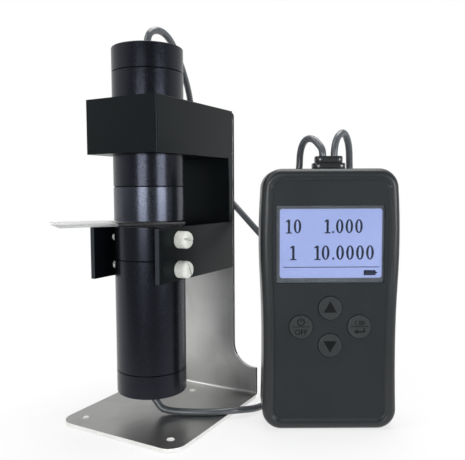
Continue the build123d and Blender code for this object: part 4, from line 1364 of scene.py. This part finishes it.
@dataclass
class Cables:
    """The two cables of the heads and the plug that both go into."""

    exit_high: Point = (0.0, 0.0, 201.8)
    exit_low: Point = (0.0, 0.0, 15.1)
    plug_right: float = 3.95
    plug_left: float = -2.15
    plug_depth: float = 15.1
    plug_top: float = 143.5
    plug_middle: float = 0.9
    plug_foot: float = 136.6

    def sensor_route(self) -> list[Point]:
        """Give the control points of the upper head's cable, in millimetres: over the block, down
        behind the upright and up behind the handset into the plug.
        """
        stand = [
            self.exit_high, (0, 0, 207.0), (0, 4.6, 211.9), (0.6, 12.5, 213.3), (-0.6, 22.5, 210.6),
            (-3.0, 32.5, 204.4), (-5.9, 43.0, 196.4), (-9.0, 53.0, 187.2), (-11.2, 60.0, 174.0),
            (-11.2, 62.0, 158.5), (-6.5, 61.0, 143.5), (4.0, 60.2, 130.5), (17.0, 60.0, 118.8),
            (31.0, 60.0, 105.0), (45.0, 61.0, 91.0), (57.5, 62.5, 80.8), (71.5, 63.5, 80.0),
            (83.5, 64.0, 90.0), (89.5, 64.3, 107.0),
        ]
        behind = [
            (15.9, 31.5, 125.5), (15.5, 31.3, 140.0), (14.4, 27.5, 150.8), (10.6, 22.3, 157.4),
            (6.0, 17.2, 154.2), (self.plug_right, self.plug_depth, 147.8),
            (self.plug_right, self.plug_depth, self.plug_top),
        ]
        return stand + [tuple(HANDSET.point(*place) / MM) for place in behind]

    def lamp_route(self) -> list[Point]:
        """Give the control points of the lower head's cable, in millimetres: down to the base, over
        its edge, along the bench and up behind the handset into the plug.
        """
        stand = [
            self.exit_low, (0, 0, 12.0), (2.9, 0.4, 8.6), (6.5, 1.0, 4.2), (20.0, 6.3, 3.95),
            (32.5, 13.0, 3.95), (42.5, 21.5, 4.0), (47.6, 32.0, 2.1), (50.2, 41.3, 2.0),
        ]
        behind = [
            (-30.3, 41.0, 2.2), (-29.0, 50.0, 7.5), (-28.0, 53.0, 18.5), (-27.6, 50.5, 31.5),
            (-27.3, 44.0, 46.5), (-27.0, 38.5, 63.0), (-26.0, 34.0, 83.0), (-22.5, 32.0, 103.0),
            (-16.0, 31.8, 120.5), (-12.5, 31.6, 136.0), (-12.4, 30.5, 147.5), (-10.3, 25.2, 153.4),
            (-6.7, 20.0, 153.4), (-3.7, 16.9, 149.6), (self.plug_left, self.plug_depth, 146.7),
            (self.plug_left, self.plug_depth, self.plug_top),
        ]
        return stand + [tuple(HANDSET.point(*place) / MM) for place in behind]

    def _plug(self, workshop: Workshop) -> Piece:
        """Make the moulded plug of two tiers with round ends, and its tongue in the socket.

        Args:
            workshop: the workshop that dresses it.

        Returns:
            The plug.
        """
        foot = Matrix.Translation(HANDSET.point(self.plug_middle, self.plug_depth, self.plug_foot))
        place = foot @ Matrix.Rotation(math.radians(HANDSET.turn), 4, "Z") @ Matrix.Scale(MM, 4)
        tiers = []
        for name, wide, deep, low, high, ends, edge in (
            ("cable_plug_dressed", 17.5, 10.5, 0.0, 3.2, 4.0, 0.45),
            ("upper_tier", 14.8, 8.6, 3.2, 6.9, 3.4, 0.7),
            ("tongue", 10.0, 4.5, -9.0, 0.0, 0.4, 0.0),
        ):
            outline = round_corners(box(-wide / 2, -deep / 2, wide / 2, deep / 2), [ends] * 4, steps=9)
            tiers.append(prism(name, [outline], low, high, place, edge))
        plug, *others = tiers
        for tier in others:
            with edited(plug.data) as shape:
                shape.from_mesh(tier.data)
            bpy.data.objects.remove(tier)
            smooth(plug)
        return workshop.mount(plug, PLUG, "root", "cable_grey", "cable_plug")

    def build(self, workshop: Workshop) -> None:
        plug = self._plug(workshop)
        upper, line, length = Cable("sensor_cable_dressed", self.sensor_route()).tube()
        workshop.mount(upper, CABLE, "root", "cable_grey", "sensor_cable")
        LOG.info("sensor cable: %.1f mm", length / MM)
        lower, line, length = Cable("lamp_cable_dressed", self.lamp_route()).tube()
        workshop.coat(lower.data, CABLE)
        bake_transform(lower)
        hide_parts("lamp_tail", "lamp_cable")
        LOG.info("lamp cable: %.1f mm", length / MM)


@dataclass(frozen=True)
class Lamp:
    """A soft rectangular lamp: where it hangs, its width and height, its watts and its colour."""

    name: str
    place: Point
    aim: Point
    size: Flat
    power: float
    tint: Point

    def hang(self) -> None:
        """Add the lamp to the scene."""
        data = bpy.data.lights.new(self.name, "AREA")
        data.shape = "RECTANGLE"
        data.size, data.size_y = self.size
        data.energy = self.power
        data.color = self.tint
        look = (Vector(self.aim) - Vector(self.place)).to_track_quat("-Z", "Y")
        add_object(self.name, data).matrix_world = Matrix.Translation(self.place) @ look.to_matrix().to_4x4()


LAMPS = (
    Lamp("key_lamp", (-0.5, -0.72, 0.95), (0.0, 0.0, 0.1), (0.5, 0.6), 4.0, (1.0, 0.99, 0.97)),
    Lamp("top_lamp", (0.05, 0.25, 1.1), (0.03, 0.0, 0.05), (0.9, 0.7), 10.0, (1.0, 1.0, 1.0)),
    Lamp("left_box", (0.27, -0.96, 0.18), (0.0, 0.0, 0.12), (0.46, 0.24), 3.9, (0.95, 0.97, 1.0)),
    Lamp("right_box", (0.97, -0.23, 0.18), (0.0, 0.0, 0.12), (0.46, 0.24), 4.0, (0.95, 0.97, 1.0)),
)


@dataclass
class Studio:
    """The camera at the photograph's place, the floor, the lamps and the white surroundings."""

    camera_place: Point = (0.188373, -0.243309, 0.125750)
    forward: Point = (-0.48864, 0.86957, -0.07127)
    right: Point = (0.87194, 0.48959, -0.00466)
    lens: float = 43.313
    floor_reach: float = 6.0
    floor_level: float = -0.0002
    floor_middle: Point = (0.05, 0.02, 0.0)
    floor_fade: Flat = (0.12, 0.42)
    floor_wash: float = 0.72
    floor_front: Point = (0.49, -0.87, 0.0)
    floor_dim: float = 0.25
    world_front: Point = (0.6, -0.72, 0.1)
    world_shine: Flat = (0.95, 0.08)
    world_rise: Flat = (0.15, 0.45)
    world_top: float = 0.62
    world_fill: float = 0.26

    def build(self) -> None:
        """Set up the camera, the floor, the lamps and the world."""
        self._camera()
        self._floor()
        self._world()
        for lamp in LAMPS:
            lamp.hang()
        bpy.context.scene.view_settings.view_transform = "Standard"

    def _camera(self) -> None:
        """Place the camera by its own axes."""
        forward, right = Vector(self.forward), Vector(self.right)
        turn = Matrix((right, right.cross(forward), -forward)).transposed().to_4x4()
        data = bpy.data.cameras.new("camera")
        data.sensor_width = 36.0
        data.sensor_fit = "HORIZONTAL"
        data.lens = self.lens
        data.clip_start = 0.01
        camera = add_object("camera", data)
        camera.matrix_world = Matrix.Translation(self.camera_place) @ turn
        bpy.context.scene.camera = camera

    def _floor(self) -> None:
        """Lay the pale floor, which turns to the white of the surroundings far out."""
        data = bpy.data.meshes.new("floor")
        reach = self.floor_reach
        data.from_pydata([(x, y, self.floor_level) for x, y in box(-reach, -reach, reach, reach)], [],
                         [(0, 1, 2, 3)])
        floor = add_object("floor", data)
        material = bpy.data.materials.new("floor_pale")
        wiring = blank(material)
        place = wiring.node("ShaderNodeTexCoord").outputs["Object"]
        far = wiring.ramp(wiring.vector("DISTANCE", place, self.floor_middle), self.floor_fade, soft=True)
        rough = wiring.ramp(wiring.noise(place, scale=900.0, detail=2.0), target=(0.7, 0.9))
        near = wiring.node(
            "ShaderNodeBsdfPrincipled",
            {"Base Color": (0.94, 0.94, 0.94, 1), "Roughness": rough, "Specular IOR Level": 0.1},
        )
        white = wiring.node("ShaderNodeEmission", {"Color": (1, 1, 1, 1), "Strength": 1.0})
        rays = wiring.node("ShaderNodeLightPath").outputs
        seen = wiring.number("MAXIMUM", rays["Is Camera Ray"], rays["Is Transmission Ray"])
        share = wiring.number("MULTIPLY", seen, wiring.number("MAXIMUM", far, self.floor_wash))
        facing = wiring.vector("DOT_PRODUCT", place, self.floor_front)
        dim = wiring.ramp(facing, (0.0, 0.2), (1.0, self.floor_dim), soft=True)
        mirrored = wiring.node("ShaderNodeEmission", {"Color": (1, 1, 1, 1), "Strength": dim})
        direct = wiring.blend(share, near.outputs[0], white.outputs[0])
        surface = wiring.blend(rays["Is Glossy Ray"], direct, mirrored.outputs[0])
        wiring.close("ShaderNodeOutputMaterial", Surface=surface)
        data.materials.append(material)

    def _world(self) -> None:
        """Make the surroundings: white to look at, dimmer on the camera's side for reflections."""
        world = bpy.data.worlds.new("surroundings")
        bpy.context.scene.world = world
        wiring = blank(world)
        rays = wiring.node("ShaderNodeLightPath").outputs
        direction = wiring.node("ShaderNodeTexCoord").outputs["Generated"]
        facing = wiring.vector("DOT_PRODUCT", direction, self.world_front)
        dim = wiring.ramp(facing, (0.05, 0.8), self.world_shine, soft=True)
        height = wiring.node("ShaderNodeSeparateXYZ", {0: direction}).outputs["Z"]
        rise = wiring.ramp(height, self.world_rise, (1.0, self.world_top), soft=True)
        shine = wiring.number("MULTIPLY", dim, rise)
        reflected = wiring.mix(rays["Is Glossy Ray"], self.world_fill, shine, "FLOAT")
        straight = wiring.number("MAXIMUM", rays["Is Camera Ray"], rays["Is Transmission Ray"])
        level = wiring.mix(straight, reflected, 1.0, "FLOAT")
        back = wiring.node("ShaderNodeBackground", {"Color": (1, 1, 1, 1), "Strength": level})
        wiring.close("ShaderNodeOutputWorld", Surface=back.outputs[0])


def main() -> None:
    """Build the studio and the meter in order."""
    logging.basicConfig(level=logging.INFO, format="%(message)s")
    Studio().build()
    workshop = Workshop()
    for assembly in (Cables(), Stand(), Heads(), ClampScrews(), SamplePlate(), Handset()):
        assembly.build(workshop)
    bpy.context.view_layer.update()


if __name__ == "__main__":
    main()
